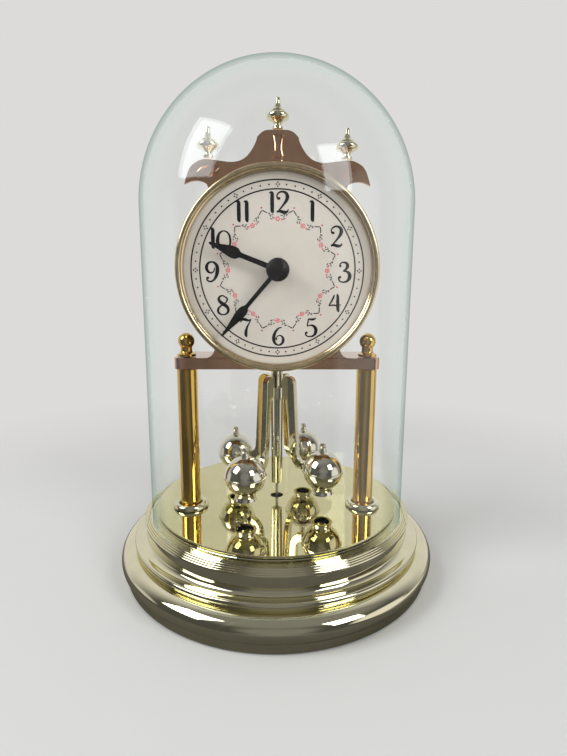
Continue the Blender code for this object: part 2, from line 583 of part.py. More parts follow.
def add_screw(turned, steps):
    """Turn a profile round local Z."""
    screw = turned.modifiers.new("turn", "SCREW")
    screw.axis = "Z"
    screw.steps = steps
    screw.render_steps = steps
    screw.use_merge_vertices = True
    screw.merge_threshold = MERGE_DISTANCE
    screw.use_smooth_shade = True


def turned_part(shop, name, profile, finish, place=None, steps=ROUND_STEPS, closed=False):
    """A turned piece: its profile runs down the outer side."""
    piece = shop.part(name, profile_mesh(name, profile, closed), finish, place)
    add_screw(piece, steps)
    return piece


def turned_cutter(shop, name, profile, place=None, steps=ROUND_STEPS):
    """A turned cutter."""
    tool = shop.cutter(name, profile_mesh(name, profile), place)
    add_screw(tool, steps)
    return tool


def rod_profile(radius, bottom, top):
    """Profile of a plain solid cylinder."""
    return [(0.0, top), (radius, top), (radius, bottom), (0.0, bottom)]


def tube_profile(outer, inner, bottom, top):
    """Closed profile of a plain tube."""
    return [(outer, top), (outer, bottom), (inner, bottom), (inner, top)]


def boolean(target, tool, operation="DIFFERENCE", solver="EXACT"):
    """Cut or join one piece with a tool."""
    modifier = target.modifiers.new(tool.name, "BOOLEAN")
    modifier.object = tool
    modifier.operation = operation
    modifier.solver = solver


def block_mesh(name, x_range, y_range, z_range):
    """A box between the limits on each axis."""
    mesh = bpy.data.meshes.new(name)
    shape = bmesh.new()
    bmesh.ops.create_cube(shape, size=1)
    size = Vector((x_range[1] - x_range[0], y_range[1] - y_range[0], z_range[1] - z_range[0]))
    middle = Vector((x_range[1] + x_range[0], y_range[1] + y_range[0], z_range[1] + z_range[0])) / 2
    bmesh.ops.scale(shape, vec=size, verts=shape.verts)
    bmesh.ops.translate(shape, vec=middle, verts=shape.verts)
    shape.to_mesh(mesh)
    shape.free()
    return mesh


def plate_mesh(name, loops, bottom, top):
    """A flat plate with these closed outlines, from one height to another along local Z."""
    data = bpy.data.curves.new(name, "CURVE")
    data.dimensions = "2D"
    data.fill_mode = "BOTH"
    data.extrude = (top - bottom) / 2
    for loop in loops:
        spline = data.splines.new("POLY")
        spline.points.add(len(loop) - 1)
        for point, (x, y) in zip(spline.points, loop):
            point.co = (x, y, 0.0, 1.0)
        spline.use_cyclic_u = True
    outline = bpy.data.objects.new(name, data)
    bpy.context.scene.collection.objects.link(outline)
    bpy.context.view_layer.update()
    evaluated = outline.evaluated_get(bpy.context.evaluated_depsgraph_get())
    mesh = bpy.data.meshes.new_from_object(evaluated)
    bpy.data.objects.remove(outline, do_unlink=True)
    shape = bmesh.new()
    shape.from_mesh(mesh)
    bmesh.ops.remove_doubles(shape, verts=shape.verts, dist=MERGE_DISTANCE)
    bmesh.ops.translate(shape, vec=(0.0, 0.0, (top + bottom) / 2), verts=shape.verts)
    bmesh.ops.recalc_face_normals(shape, faces=shape.faces)
    shape.to_mesh(mesh)
    shape.free()
    mesh.materials.clear()
    return mesh


def circle_loop(radius, count, x=0.0, y=0.0):
    """Corners of a circle."""
    loop = []
    for index in range(count):
        angle = 2 * math.pi * index / count
        loop.append((x + radius * math.cos(angle), y + radius * math.sin(angle)))
    return loop


def hex_nut_mesh(name, corner_radius, hole_radius, bottom, top, steps=SMALL_STEPS):
    """A six-sided nut with a round hole."""
    loops = [circle_loop(corner_radius, HEX_STEPS), circle_loop(hole_radius, steps)]
    return plate_mesh(name, loops, bottom, top)


def mirrored(half):
    """Close an outline whose half starts and ends near X = 0."""
    other = [(-x, y) for x, y in reversed(half) if x > 0.0]
    return list(half) + other


def spread(count, first, radius):
    """Points of a ring of fixings, with their angles."""
    places = []
    for index in range(count):
        angle = first + 2 * math.pi * index / count
        places.append((radius * math.cos(angle), radius * math.sin(angle), angle))
    return places


def base_outer_profile():
    """The base's visible side, from the mirror's platform down to the lip."""
    profile = [(PLATFORM_RADIUS, PLATFORM_TOP_Z)]
    profile += [(PLATFORM_RADIUS, CHANNEL_FLOOR_Z)]
    profile += [(CHANNEL_OUTER_RADIUS, CHANNEL_FLOOR_Z)]
    ridge_width = RIM_WIDTH / RIM_RIDGES
    ridge_fall = RIM_SLOPE_HEIGHT / RIM_RIDGES
    for ridge in range(RIM_RIDGES):
        radius = CHANNEL_OUTER_RADIUS + ridge * ridge_width
        height = RIM_TOP_Z - ridge * ridge_fall
        profile += [(radius, height - RIM_RIDGE_HEIGHT), (radius + ridge_width / 2, height)]
    profile += [(RIM_RADIUS, RIM_EDGE_Z)]
    profile += [(RIM_RADIUS, RIM_BOTTOM_Z)]
    profile += [(BAND_RADIUS, RIM_BOTTOM_Z)]
    cove_radius = BAND_RADIUS + COVE_WIDTH
    profile += arc(cove_radius, BAND_BOTTOM_Z, COVE_WIDTH, COVE_HEIGHT, math.pi, 1.5 * math.pi, 3)
    bead_z = BEAD_BOTTOM_Z + BEAD_HEIGHT / 2
    profile += arc(GROOVE_RADIUS, bead_z, BEAD_BULGE, BEAD_HEIGHT / 2, 0.5 * math.pi, -0.5 * math.pi, 4)
    profile += [(GROOVE_RADIUS, GROOVE_BOTTOM_Z)]
    profile += arc(FLARE_CENTRE_RADIUS, FLARE_CENTRE_Z, FLARE_WIDTH, FLARE_HALF_HEIGHT,
                   0.5 * math.pi, FLARE_UNDERCUT_ANGLE, 6)
    profile += [(LIP_RADIUS, LIP_BOTTOM_Z)]
    return profile


def base_inner_profile():
    """The base's hollow underside, from the lip up to the platform and in to the guide hole."""
    cover_seat_radius = LIP_RADIUS - BASE_WALL
    cover_seat_z = COVER_TOP_Z + CLEARANCE
    skirt_radius = cover_seat_radius - BASE_WALL
    groove_inner = GROOVE_RADIUS - BASE_WALL
    band_inner = BAND_RADIUS - BASE_WALL
    step_inner = PLATFORM_RADIUS - BASE_WALL
    hole_radius = GUIDE_OUTER_RADIUS + CLEARANCE
    return [
        (cover_seat_radius, LIP_BOTTOM_Z),
        (cover_seat_radius, cover_seat_z),
        (skirt_radius, cover_seat_z),
        (skirt_radius, FLARE_CENTRE_Z),
        (groove_inner, GROOVE_BOTTOM_Z - BASE_WALL),
        (groove_inner, BEAD_BOTTOM_Z),
        (band_inner, COVE_BOTTOM_Z - BASE_WALL / 2),
        (band_inner, CHANNEL_FLOOR_Z - BASE_WALL),
        (step_inner, CHANNEL_FLOOR_Z - BASE_WALL),
        (step_inner, PLATFORM_UNDERSIDE_Z),
        (hole_radius, PLATFORM_UNDERSIDE_Z),
        (hole_radius, PLATFORM_TOP_Z),
    ]


def cut_rod_holes(shop, target, bottom, top, name):
    """Bore both tie rod holes through a piece."""
    for side in (-1, 1):
        profile = rod_profile(COLUMN_BORE_RADIUS, bottom - OVERRUN, top + OVERRUN)
        place = at(side * COLUMN_X, COLUMN_Y)
        boolean(target, turned_cutter(shop, name + "_rod_hole", profile, place, SMALL_STEPS))


def cover_screw_places():
    """Where the bottom cover's screws stand."""
    return spread(COVER_SCREW_COUNT, math.radians(90.0), COVER_SCREW_CIRCLE_RADIUS)


def make_base(shop):
    """Base shell with bosses, its cover, screws, pads and ballast."""
    shell_profile = base_outer_profile() + base_inner_profile()
    shell = turned_part(shop, "base_shell", shell_profile, "champagne_metal", None, BASE_STEPS, closed=True)
    boss_bottom = COVER_TOP_Z + CLEARANCE
    boss_top = PLATFORM_UNDERSIDE_Z + BASE_WALL / 2
    screw_bottom = COVER_BOTTOM_Z + SCREW_HEAD_RECESS
    hole_radius = SCREW_SHANK_RADIUS + CLEARANCE
    hole_top = screw_bottom + SCREW_LENGTH + CLEARANCE
    boss_profile = [(0.0, boss_top), (SCREW_BOSS_RADIUS, boss_top), (SCREW_BOSS_RADIUS, boss_bottom),
                    (hole_radius, boss_bottom), (hole_radius, hole_top), (0.0, hole_top)]
    for x, y, _ in cover_screw_places():
        boolean(shell, turned_cutter(shop, "cover_boss", boss_profile, at(x, y), SMALL_STEPS), "UNION")
    cut_rod_holes(shop, shell, PLATFORM_UNDERSIDE_Z, PLATFORM_TOP_Z, "base")

    cover = turned_part(shop, "base_cover", rod_profile(COVER_RADIUS, COVER_BOTTOM_Z, COVER_TOP_Z),
                        "black_plastic", None, BASE_STEPS)
    head_top = screw_bottom + SCREW_HEAD_HEIGHT
    sink_radius = SCREW_HEAD_RADIUS + CLEARANCE
    for number, (x, y, _) in enumerate(cover_screw_places(), 1):
        sink_profile = [(0.0, COVER_TOP_Z + OVERRUN), (hole_radius, COVER_TOP_Z + OVERRUN),
                        (hole_radius, head_top + CLEARANCE), (sink_radius, head_top + CLEARANCE),
                        (sink_radius, COVER_BOTTOM_Z - OVERRUN), (0.0, COVER_BOTTOM_Z - OVERRUN)]
        boolean(cover, turned_cutter(shop, "screw_sink", sink_profile, at(x, y), SMALL_STEPS))
        screw_top = screw_bottom + SCREW_LENGTH
        screw_profile = [(0.0, screw_top), (SCREW_SHANK_RADIUS, screw_top),
                         (SCREW_SHANK_RADIUS, head_top), (SCREW_HEAD_RADIUS, head_top),
                         (SCREW_HEAD_RADIUS, screw_bottom), (0.0, screw_bottom)]
        turned_part(shop, "cover_screw_%d" % number, screw_profile, "steel", at(x, y), SMALL_STEPS)

    for number, (x, y, _) in enumerate(spread(PAD_COUNT, math.radians(45.0), PAD_CIRCLE_RADIUS), 1):
        turned_part(shop, "foot_pad_%d" % number, rod_profile(PAD_RADIUS, 0.0, PAD_HEIGHT), "felt",
                    at(x, y), SMALL_STEPS)

    ballast_bottom = COVER_TOP_Z + CLEARANCE
    ballast = tube_profile(BALLAST_OUTER_RADIUS, BALLAST_INNER_RADIUS, ballast_bottom,
                           ballast_bottom + BALLAST_HEIGHT)
    turned_part(shop, "ballast_ring", ballast, "steel", closed=True)


def make_platform(shop):
    """Mirror plate and the guide cup under its hole."""
    mirror = turned_part(shop, "mirror_plate",
                         tube_profile(MIRROR_RADIUS, GUIDE_HOLE_RADIUS, MIRROR_BOTTOM_Z, MIRROR_TOP_Z),
                         "mirror_metal", None, BASE_STEPS, closed=True)
    cut_rod_holes(shop, mirror, MIRROR_BOTTOM_Z, MIRROR_TOP_Z, "mirror")
    flange_radius = GUIDE_OUTER_RADIUS + GUIDE_FLANGE_WIDTH
    flange_bottom = GUIDE_FLANGE_TOP_Z - GUIDE_FLANGE_THICKNESS
    cup_bottom = PLATFORM_TOP_Z - GUIDE_DEPTH
    cup_profile = [(0.0, cup_bottom + GUIDE_WALL), (GUIDE_HOLE_RADIUS, cup_bottom + GUIDE_WALL),
                   (GUIDE_HOLE_RADIUS, PLATFORM_TOP_Z), (GUIDE_OUTER_RADIUS, PLATFORM_TOP_Z),
                   (GUIDE_OUTER_RADIUS, GUIDE_FLANGE_TOP_Z), (flange_radius, GUIDE_FLANGE_TOP_Z),
                   (flange_radius, flange_bottom), (GUIDE_OUTER_RADIUS, flange_bottom),
                   (GUIDE_OUTER_RADIUS, cup_bottom), (0.0, cup_bottom)]
    turned_part(shop, "guide_cup", cup_profile, "black_plastic")


def finial_profile():
    """Ball finial with a flared cup foot and a blind hole for the tie rod."""
    ball_foot_angle = -math.acos(FINIAL_NECK_RADIUS / FINIAL_BALL_RADIUS)
    profile = arc(0.0, FINIAL_BALL_Z, FINIAL_BALL_RADIUS, FINIAL_BALL_RADIUS, 0.5 * math.pi,
                  ball_foot_angle, 6)
    profile[0] = (0.0, FINIAL_BALL_Z + FINIAL_BALL_RADIUS)
    cup_top = FINIAL_BOTTOM_Z + FINIAL_CUP_HEIGHT
    hole_radius = TIE_ROD_RADIUS + CLEARANCE
    hole_top = TIE_ROD_TOP_Z + CLEARANCE
    neck_z = cup_top + FINIAL_FLARE_WIDTH
    profile += arc(FINIAL_CUP_RADIUS, neck_z, FINIAL_FLARE_WIDTH, FINIAL_FLARE_WIDTH, math.pi,
                   1.5 * math.pi, 3)
    profile += [(FINIAL_CUP_RADIUS, FINIAL_BOTTOM_Z), (hole_radius, FINIAL_BOTTOM_Z)]
    profile += [(hole_radius, hole_top), (0.0, hole_top)]
    return profile


def make_columns(shop):
    """Columns, foot collars, tie rods, nuts and ball finials, left and right."""
    collar_middle = (COLLAR_OUTER_RADIUS + COLLAR_INNER_RADIUS) / 2
    collar_half = (COLLAR_OUTER_RADIUS - COLLAR_INNER_RADIUS) / 2
    collar = arc(collar_middle, COLUMN_BOTTOM_Z, collar_half, COLLAR_HEIGHT, math.pi, 0.0, 6)
    column = tube_profile(COLUMN_RADIUS, COLUMN_BORE_RADIUS, COLUMN_BOTTOM_Z, COLUMN_TOP_Z)
    rod = rod_profile(TIE_ROD_RADIUS, TIE_ROD_BOTTOM_Z, TIE_ROD_TOP_Z)
    for side, label in ((-1, "left"), (1, "right")):
        place = at(side * COLUMN_X, COLUMN_Y)
        turned_part(shop, "column_collar_" + label, collar, "champagne_metal", place, closed=True)
        turned_part(shop, "column_" + label, column, "column_brass", place, closed=True)
        turned_part(shop, "tie_rod_" + label, rod, "steel", place, SMALL_STEPS)
        nut_mesh = hex_nut_mesh("tie_rod_nut_" + label, TIE_NUT_RADIUS, TIE_ROD_RADIUS + CLEARANCE,
                                TIE_NUT_BOTTOM_Z, TIE_NUT_TOP_Z)
        shop.part("tie_rod_nut_" + label, nut_mesh, "steel", place)
        turned_part(shop, "ball_finial_" + label, finial_profile(), "column_brass", place)


def make_bridge(shop):
    """Bar across the columns, with an upstand that fillets up behind the bezel."""
    inner_x = BRIDGE_HALF_WIDTH - BRIDGE_CORNER
    front_inner = BRIDGE_FRONT_Y + BRIDGE_CORNER
    back_inner = BRIDGE_BACK_Y - BRIDGE_CORNER
    outline = [(-inner_x, BRIDGE_FRONT_Y), (inner_x, BRIDGE_FRONT_Y), (BRIDGE_HALF_WIDTH, front_inner),
               (BRIDGE_HALF_WIDTH, back_inner), (inner_x, BRIDGE_BACK_Y), (-inner_x, BRIDGE_BACK_Y),
               (-BRIDGE_HALF_WIDTH, back_inner), (-BRIDGE_HALF_WIDTH, front_inner)]
    bridge = shop.part("top_bridge", plate_mesh("top_bridge", [outline], BRIDGE_BOTTOM_Z, BRIDGE_TOP_Z),
                       "champagne_metal")
    fillet_z = BRIDGE_TOP_Z + UPSTAND_FILLET
    half = [(0.0, UPSTAND_TOP_Z), (UPSTAND_HALF_WIDTH - UPSTAND_FILLET, UPSTAND_TOP_Z)]
    half += arc(UPSTAND_HALF_WIDTH, fillet_z, UPSTAND_FILLET, UPSTAND_FILLET, math.pi, 1.5 * math.pi, 5)
    half += [(UPSTAND_HALF_WIDTH, BRIDGE_TOP_Z - OVERRUN), (0.0, BRIDGE_TOP_Z - OVERRUN)]
    upstand_mesh = plate_mesh("upstand", [mirrored(half)], CREST_DEPTH - UPSTAND_THICKNESS,
                              CREST_DEPTH + UPSTAND_PROUD)
    boolean(bridge, shop.cutter("upstand", upstand_mesh, facing_front()), "UNION", "MANIFOLD")
    cut_rod_holes(shop, bridge, BRIDGE_BOTTOM_Z, BRIDGE_TOP_Z, "bridge")
    bush_hole = rod_profile(BUSH_HOLE_RADIUS, BRIDGE_BOTTOM_Z - OVERRUN, BRIDGE_TOP_Z + OVERRUN)
    boolean(bridge, turned_cutter(shop, "bridge_bush_hole", bush_hole, None, SMALL_STEPS))


def crest_outline():
    """Half of the crest plate, from the crown round the wing and down to the bridge's upstand."""
    def placed(shares):
        return [(CREST_HALF_WIDTH * x, CREST_RISE * z) for x, z in shares]

    wing_bottom = placed(WING_UNDERSIDE_SHARES)
    half = placed(CROWN_FLAT_SHARES)
    half += smooth(placed(CROWN_SIDE_SHARES), SMOOTH_STEPS)
    half += smooth(placed(WING_TOP_SHARES), SMOOTH_STEPS)
    half += smooth(wing_bottom, SMOOTH_STEPS)
    start = math.acos(wing_bottom[-1][0] / CREST_DISC_RADIUS)
    foot_z = UPSTAND_TOP_Z + CLEARANCE - DIAL_Z
    end = math.asin(foot_z / CREST_DISC_RADIUS)
    half += arc(0.0, 0.0, CREST_DISC_RADIUS, CREST_DISC_RADIUS, start, end, 16)
    half += [(0.0, foot_z)]
    return half


def make_crest(shop):
    """Crest plate and the three urn finials on it."""
    hole = circle_loop(BUSHING_RADIUS + CLEARANCE, ROUND_STEPS)
    loops = [mirrored(crest_outline()), hole]
    mesh = plate_mesh("crest_plate", loops, CREST_DEPTH - CREST_THICKNESS, CREST_DEPTH)
    shop.part("crest_plate", mesh, "champagne_metal", facing_front(0.0, DIAL_Z))
    urn = [(URN_RADIUS * r, URN_HEIGHT * z) for r, z in URN_SHARES]
    urn_y = -(CREST_DEPTH - CREST_THICKNESS / 2)
    shoulder = DIAL_Z + CREST_RISE * CROWN_SIDE_SHARES[-1][1]
    crown = DIAL_Z + CREST_RISE
    seats = (("centre", 0.0, crown), ("left", -URN_SIDE_X, shoulder), ("right", URN_SIDE_X, shoulder))
    for label, x, z in seats:
        place = at(x, urn_y, z + CLEARANCE)
        turned_part(shop, "urn_finial_" + label, urn, "champagne_metal", place, URN_STEPS)


def make_dial(shop):
    """Bezel, dial and the carrier behind it."""
    crown_middle = (BEZEL_RADIUS + BEZEL_OPENING_RADIUS) / 2
    crown_half = (BEZEL_RADIUS - BEZEL_OPENING_RADIUS) / 2
    rebate_front = DIAL_FRONT_DEPTH + CLEARANCE
    bezel = arc(crown_middle, BEZEL_CROWN_DEPTH, crown_half, BEZEL_CROWN_HEIGHT, math.pi, 0.0, 6)
    bezel += [(BEZEL_RADIUS, BEZEL_BACK_DEPTH), (BEZEL_REBATE_RADIUS, BEZEL_BACK_DEPTH)]
    bezel += [(BEZEL_REBATE_RADIUS, rebate_front), (BEZEL_OPENING_RADIUS, rebate_front)]
    place = facing_front(0.0, DIAL_Z)
    turned_part(shop, "bezel", bezel, "champagne_metal", place, DIAL_STEPS, closed=True)
    carrier = tube_profile(DIAL_RADIUS, CARRIER_HOLE_RADIUS, BEZEL_BACK_DEPTH, CARRIER_FRONT_DEPTH)
    turned_part(shop, "dial_carrier", carrier, "white_plastic", place, DIAL_STEPS, closed=True)
    dial = tube_profile(DIAL_RADIUS, DIAL_HOLE_RADIUS, DIAL_BACK_DEPTH, DIAL_FRONT_DEPTH)
    turned_part(shop, "dial", dial, "dial_cream", place, DIAL_STEPS, closed=True)


def make_movement_case(shop):
    """Movement case with its back, bushing, nut, battery door and battery."""
    outer = block_mesh("movement_case", (-CASE_HALF_WIDTH, CASE_HALF_WIDTH),
                       (-CASE_FRONT_DEPTH, -CASE_INNER_BACK_DEPTH - CLEARANCE), (CASE_BOTTOM_Z, CASE_TOP_Z))
    case = shop.part("movement_case", outer, "black_plastic")
    hollow = block_mesh("case_hollow", (-CASE_INNER_HALF_WIDTH, CASE_INNER_HALF_WIDTH),
                        (-CASE_INNER_FRONT_DEPTH, -CASE_BACK_DEPTH + OVERRUN),
                        (CASE_FLOOR_Z, CASE_CEILING_Z))
    boolean(case, shop.cutter("case_hollow", hollow))
    bushing_hole = rod_profile(BUSHING_RADIUS + CLEARANCE, CASE_INNER_FRONT_DEPTH - OVERRUN,
                               CASE_FRONT_DEPTH + OVERRUN)
    centre = facing_front(0.0, DIAL_Z)
    boolean(case, turned_cutter(shop, "case_bushing_hole", bushing_hole, centre))
    bush_hole = rod_profile(BUSH_HOLE_RADIUS, CASE_BOTTOM_Z - OVERRUN, CASE_FLOOR_Z + OVERRUN)
    boolean(case, turned_cutter(shop, "case_bush_hole", bush_hole, None, SMALL_STEPS))

    back_mesh = block_mesh("movement_back", (-CASE_HALF_WIDTH, CASE_HALF_WIDTH),
                           (-CASE_INNER_BACK_DEPTH, -CASE_BACK_DEPTH), (CASE_BOTTOM_Z, CASE_TOP_Z))
    back = shop.part("movement_back", back_mesh, "black_plastic")
    door_hole = block_mesh("battery_door_hole", (-BATTERY_DOOR_HALF_WIDTH, BATTERY_DOOR_HALF_WIDTH),
                           (-CASE_INNER_BACK_DEPTH - OVERRUN, -CASE_BACK_DEPTH + OVERRUN),
                           (BATTERY_Z - BATTERY_DOOR_HALF_HEIGHT, BATTERY_Z + BATTERY_DOOR_HALF_HEIGHT))
    boolean(back, shop.cutter("battery_door_hole", door_hole))
    knob_hole = rod_profile(SETTING_HOLE_RADIUS, CASE_BACK_DEPTH - OVERRUN, CASE_INNER_BACK_DEPTH + OVERRUN)
    boolean(back, turned_cutter(shop, "setting_hole", knob_hole, facing_front(0.0, SETTING_Z), SMALL_STEPS))

    door_half_width = BATTERY_DOOR_HALF_WIDTH - CLEARANCE
    door_half_height = BATTERY_DOOR_HALF_HEIGHT - CLEARANCE
    door_mesh = block_mesh("battery_cover", (-door_half_width, door_half_width),
                           (-CASE_INNER_BACK_DEPTH, -CASE_BACK_DEPTH),
                           (BATTERY_Z - door_half_height, BATTERY_Z + door_half_height))
    door = shop.part("battery_cover", door_mesh, "black_plastic")
    grip = block_mesh("battery_grip", (-BATTERY_GRIP_WIDTH / 2, BATTERY_GRIP_WIDTH / 2),
                      (-CASE_BACK_DEPTH - CASE_WALL / 2, -CASE_BACK_DEPTH + BATTERY_GRIP_DEPTH),
                      (BATTERY_Z - BATTERY_GRIP_HEIGHT / 2, BATTERY_Z + BATTERY_GRIP_HEIGHT / 2))
    boolean(door, shop.cutter("battery_grip", grip), "UNION")

    bushing_back = BUSHING_FLANGE_DEPTH - BUSHING_FLANGE_THICKNESS
    bushing = [(BUSHING_RADIUS, BUSHING_FRONT_DEPTH), (BUSHING_RADIUS, BUSHING_FLANGE_DEPTH),
               (BUSHING_FLANGE_RADIUS, BUSHING_FLANGE_DEPTH), (BUSHING_FLANGE_RADIUS, bushing_back),
               (BUSHING_BORE_RADIUS, bushing_back), (BUSHING_BORE_RADIUS, BUSHING_FRONT_DEPTH)]
    turned_part(shop, "centre_bushing", bushing, "brass", centre, closed=True)
    nut_mesh = hex_nut_mesh("fixing_nut", FIXING_NUT_RADIUS, BUSHING_RADIUS + CLEARANCE,
                            CREST_DEPTH + CLEARANCE, CARRIER_FRONT_DEPTH, ROUND_STEPS)
    shop.part("fixing_nut", nut_mesh, "brass", centre)


def make_battery(shop):
    """Battery across the case and the contacts at its ends."""
    across = at(0.0, -BATTERY_DEPTH, BATTERY_Z) @ Matrix.Rotation(math.radians(90.0), 4, "Y")
    half = BATTERY_LENGTH / 2
    cell = [(0.0, BATTERY_REACH), (BATTERY_NUB_RADIUS, BATTERY_REACH),
            (BATTERY_NUB_RADIUS, half), (BATTERY_RADIUS, half), (BATTERY_RADIUS, -half), (0.0, -half)]
    turned_part(shop, "battery", cell, "battery_jacket", across)
    contact_y = (-BATTERY_DEPTH - CONTACT_WIDTH / 2, -BATTERY_DEPTH + CONTACT_WIDTH / 2)
    contact_z = (CASE_FLOOR_Z + CLEARANCE, BATTERY_Z + CONTACT_WIDTH / 2)
    plus_x = BATTERY_REACH + CLEARANCE
    minus_x = -half - CLEARANCE
    contacts = (("battery_contact_plus", (plus_x, plus_x + CONTACT_THICKNESS)),
                ("battery_contact_minus", (minus_x - CONTACT_THICKNESS, minus_x)))
    for name, x_range in contacts:
        shop.part(name, block_mesh(name, x_range, contact_y, contact_z), "steel")


def make_electronics(shop):
    """Circuit board, stepping motor and the pendulum's drive coil."""
    board_left = -CASE_INNER_HALF_WIDTH + BOARD_SIDE_GAP
    board_front = CASE_INNER_FRONT_DEPTH - CLEARANCE
    board = block_mesh("circuit_board", (board_left, board_left + BOARD_WIDTH),
                       (-board_front, -board_front + BOARD_THICKNESS),
                       (BOARD_BOTTOM_Z, BOARD_BOTTOM_Z + BOARD_HEIGHT))
    shop.part("circuit_board", board, "board_green")
    body = block_mesh("step_motor", (MOTOR_LEFT_X, MOTOR_RIGHT_X),
                      (-board_front, -MOTOR_BACK_DEPTH),
                      (DIAL_Z - MOTOR_HEIGHT / 2, DIAL_Z + MOTOR_HEIGHT / 2))
    motor = shop.part("step_motor", body, "white_plastic")
    pinion = rod_profile(MOTOR_PINION_RADIUS, THIRD_STAGE_DEPTH - STAGE_OVERLAP, MOTOR_BACK_DEPTH + OVERRUN)
    pinion_place = facing_front(MOTOR_PINION_X, DIAL_Z)
    boolean(motor, turned_cutter(shop, "motor_pinion", pinion, pinion_place, SMALL_STEPS), "UNION")
    coil = block_mesh("pendulum_coil", (-COIL_HALF_WIDTH, COIL_HALF_WIDTH),
                      (-board_front, -CASE_INNER_BACK_DEPTH - CLEARANCE),
                      (COIL_BOTTOM_Z, COIL_TOP_Z))
    shop.part("pendulum_coil", coil, "copper_coil")


def wheel_profile(stages, back):
    """Profile of a shaft with wheels, from its stages' front depths and radii and its back depth."""
    profile = [(0.0, stages[0][0])]
    for index, (front, radius) in enumerate(stages):
        rear = stages[index + 1][0] if index + 1 < len(stages) else back
        profile += [(radius, front), (radius, rear)]
    return profile + [(0.0, back)]


def make_wheels(shop):
    """Third wheel, reverse wheel and the setting shaft with its knob."""
    half_extra = (PINION_LENGTH - WHEEL_THICKNESS) / 2
    third_stages = ((ARBOR_HEAD_DEPTH, ARBOR_RADIUS),
                    (CENTRE_STAGE_DEPTH + WHEEL_THICKNESS + half_extra, THIRD_PINION_RADIUS),
                    (CENTRE_STAGE_DEPTH - half_extra, ARBOR_RADIUS),
                    (THIRD_STAGE_DEPTH + WHEEL_THICKNESS, THIRD_WHEEL_RADIUS),
                    (THIRD_STAGE_DEPTH, ARBOR_RADIUS))
    turned_part(shop, "third_wheel", wheel_profile(third_stages, ARBOR_END_DEPTH), "white_plastic",
                facing_front(THIRD_DISTANCE, DIAL_Z), SMALL_STEPS)
    reverse_stages = ((ARBOR_HEAD_DEPTH, ARBOR_RADIUS),
                      (HOUR_STAGE_DEPTH + WHEEL_THICKNESS + half_extra, REVERSE_PINION_RADIUS),
                      (HOUR_STAGE_DEPTH - half_extra, ARBOR_RADIUS),
                      (CANNON_STAGE_DEPTH + WHEEL_THICKNESS, REVERSE_WHEEL_RADIUS),
                      (CANNON_STAGE_DEPTH, ARBOR_RADIUS))
    turned_part(shop, "reverse_wheel", wheel_profile(reverse_stages, ARBOR_END_DEPTH), "white_plastic",
                facing_front(0.0, REVERSE_Z), SMALL_STEPS)
    knob_front = CASE_BACK_DEPTH - CLEARANCE
    setting_stages = ((ARBOR_HEAD_DEPTH, ARBOR_RADIUS),
                      (CANNON_STAGE_DEPTH + WHEEL_THICKNESS + half_extra, SETTING_PINION_RADIUS),
                      (CANNON_STAGE_DEPTH - half_extra, SETTING_SHAFT_RADIUS),
                      (knob_front, KNOB_HUB_RADIUS),
                      (knob_front - CLEARANCE, KNOB_RADIUS))
    knob_back = knob_front - CLEARANCE - KNOB_HEIGHT
    turned_part(shop, "setting_knob", wheel_profile(setting_stages, knob_back), "black_plastic",
                facing_front(0.0, SETTING_Z), SMALL_STEPS)


def hand_mesh(name, length, width, boss_radius, hole_radius, depth):
    """A hand with a round boss, a slim stem, a bulb and a fine tip, pointing along local Y."""
    side = [(width * x, length * y) for y, x in HAND_OUTLINE_SHARES]
    stem_half = side[0][0]
    boss_start = math.acos(stem_half / boss_radius)
    boss = arc(0.0, 0.0, boss_radius, boss_radius, -0.5 * math.pi, boss_start, 10)
    half = boss + [point for point in side if point[1] > boss_radius]
    loops = [mirrored(half), circle_loop(hole_radius, SMALL_STEPS)]
    return plate_mesh(name, loops, depth, depth + HAND_THICKNESS)


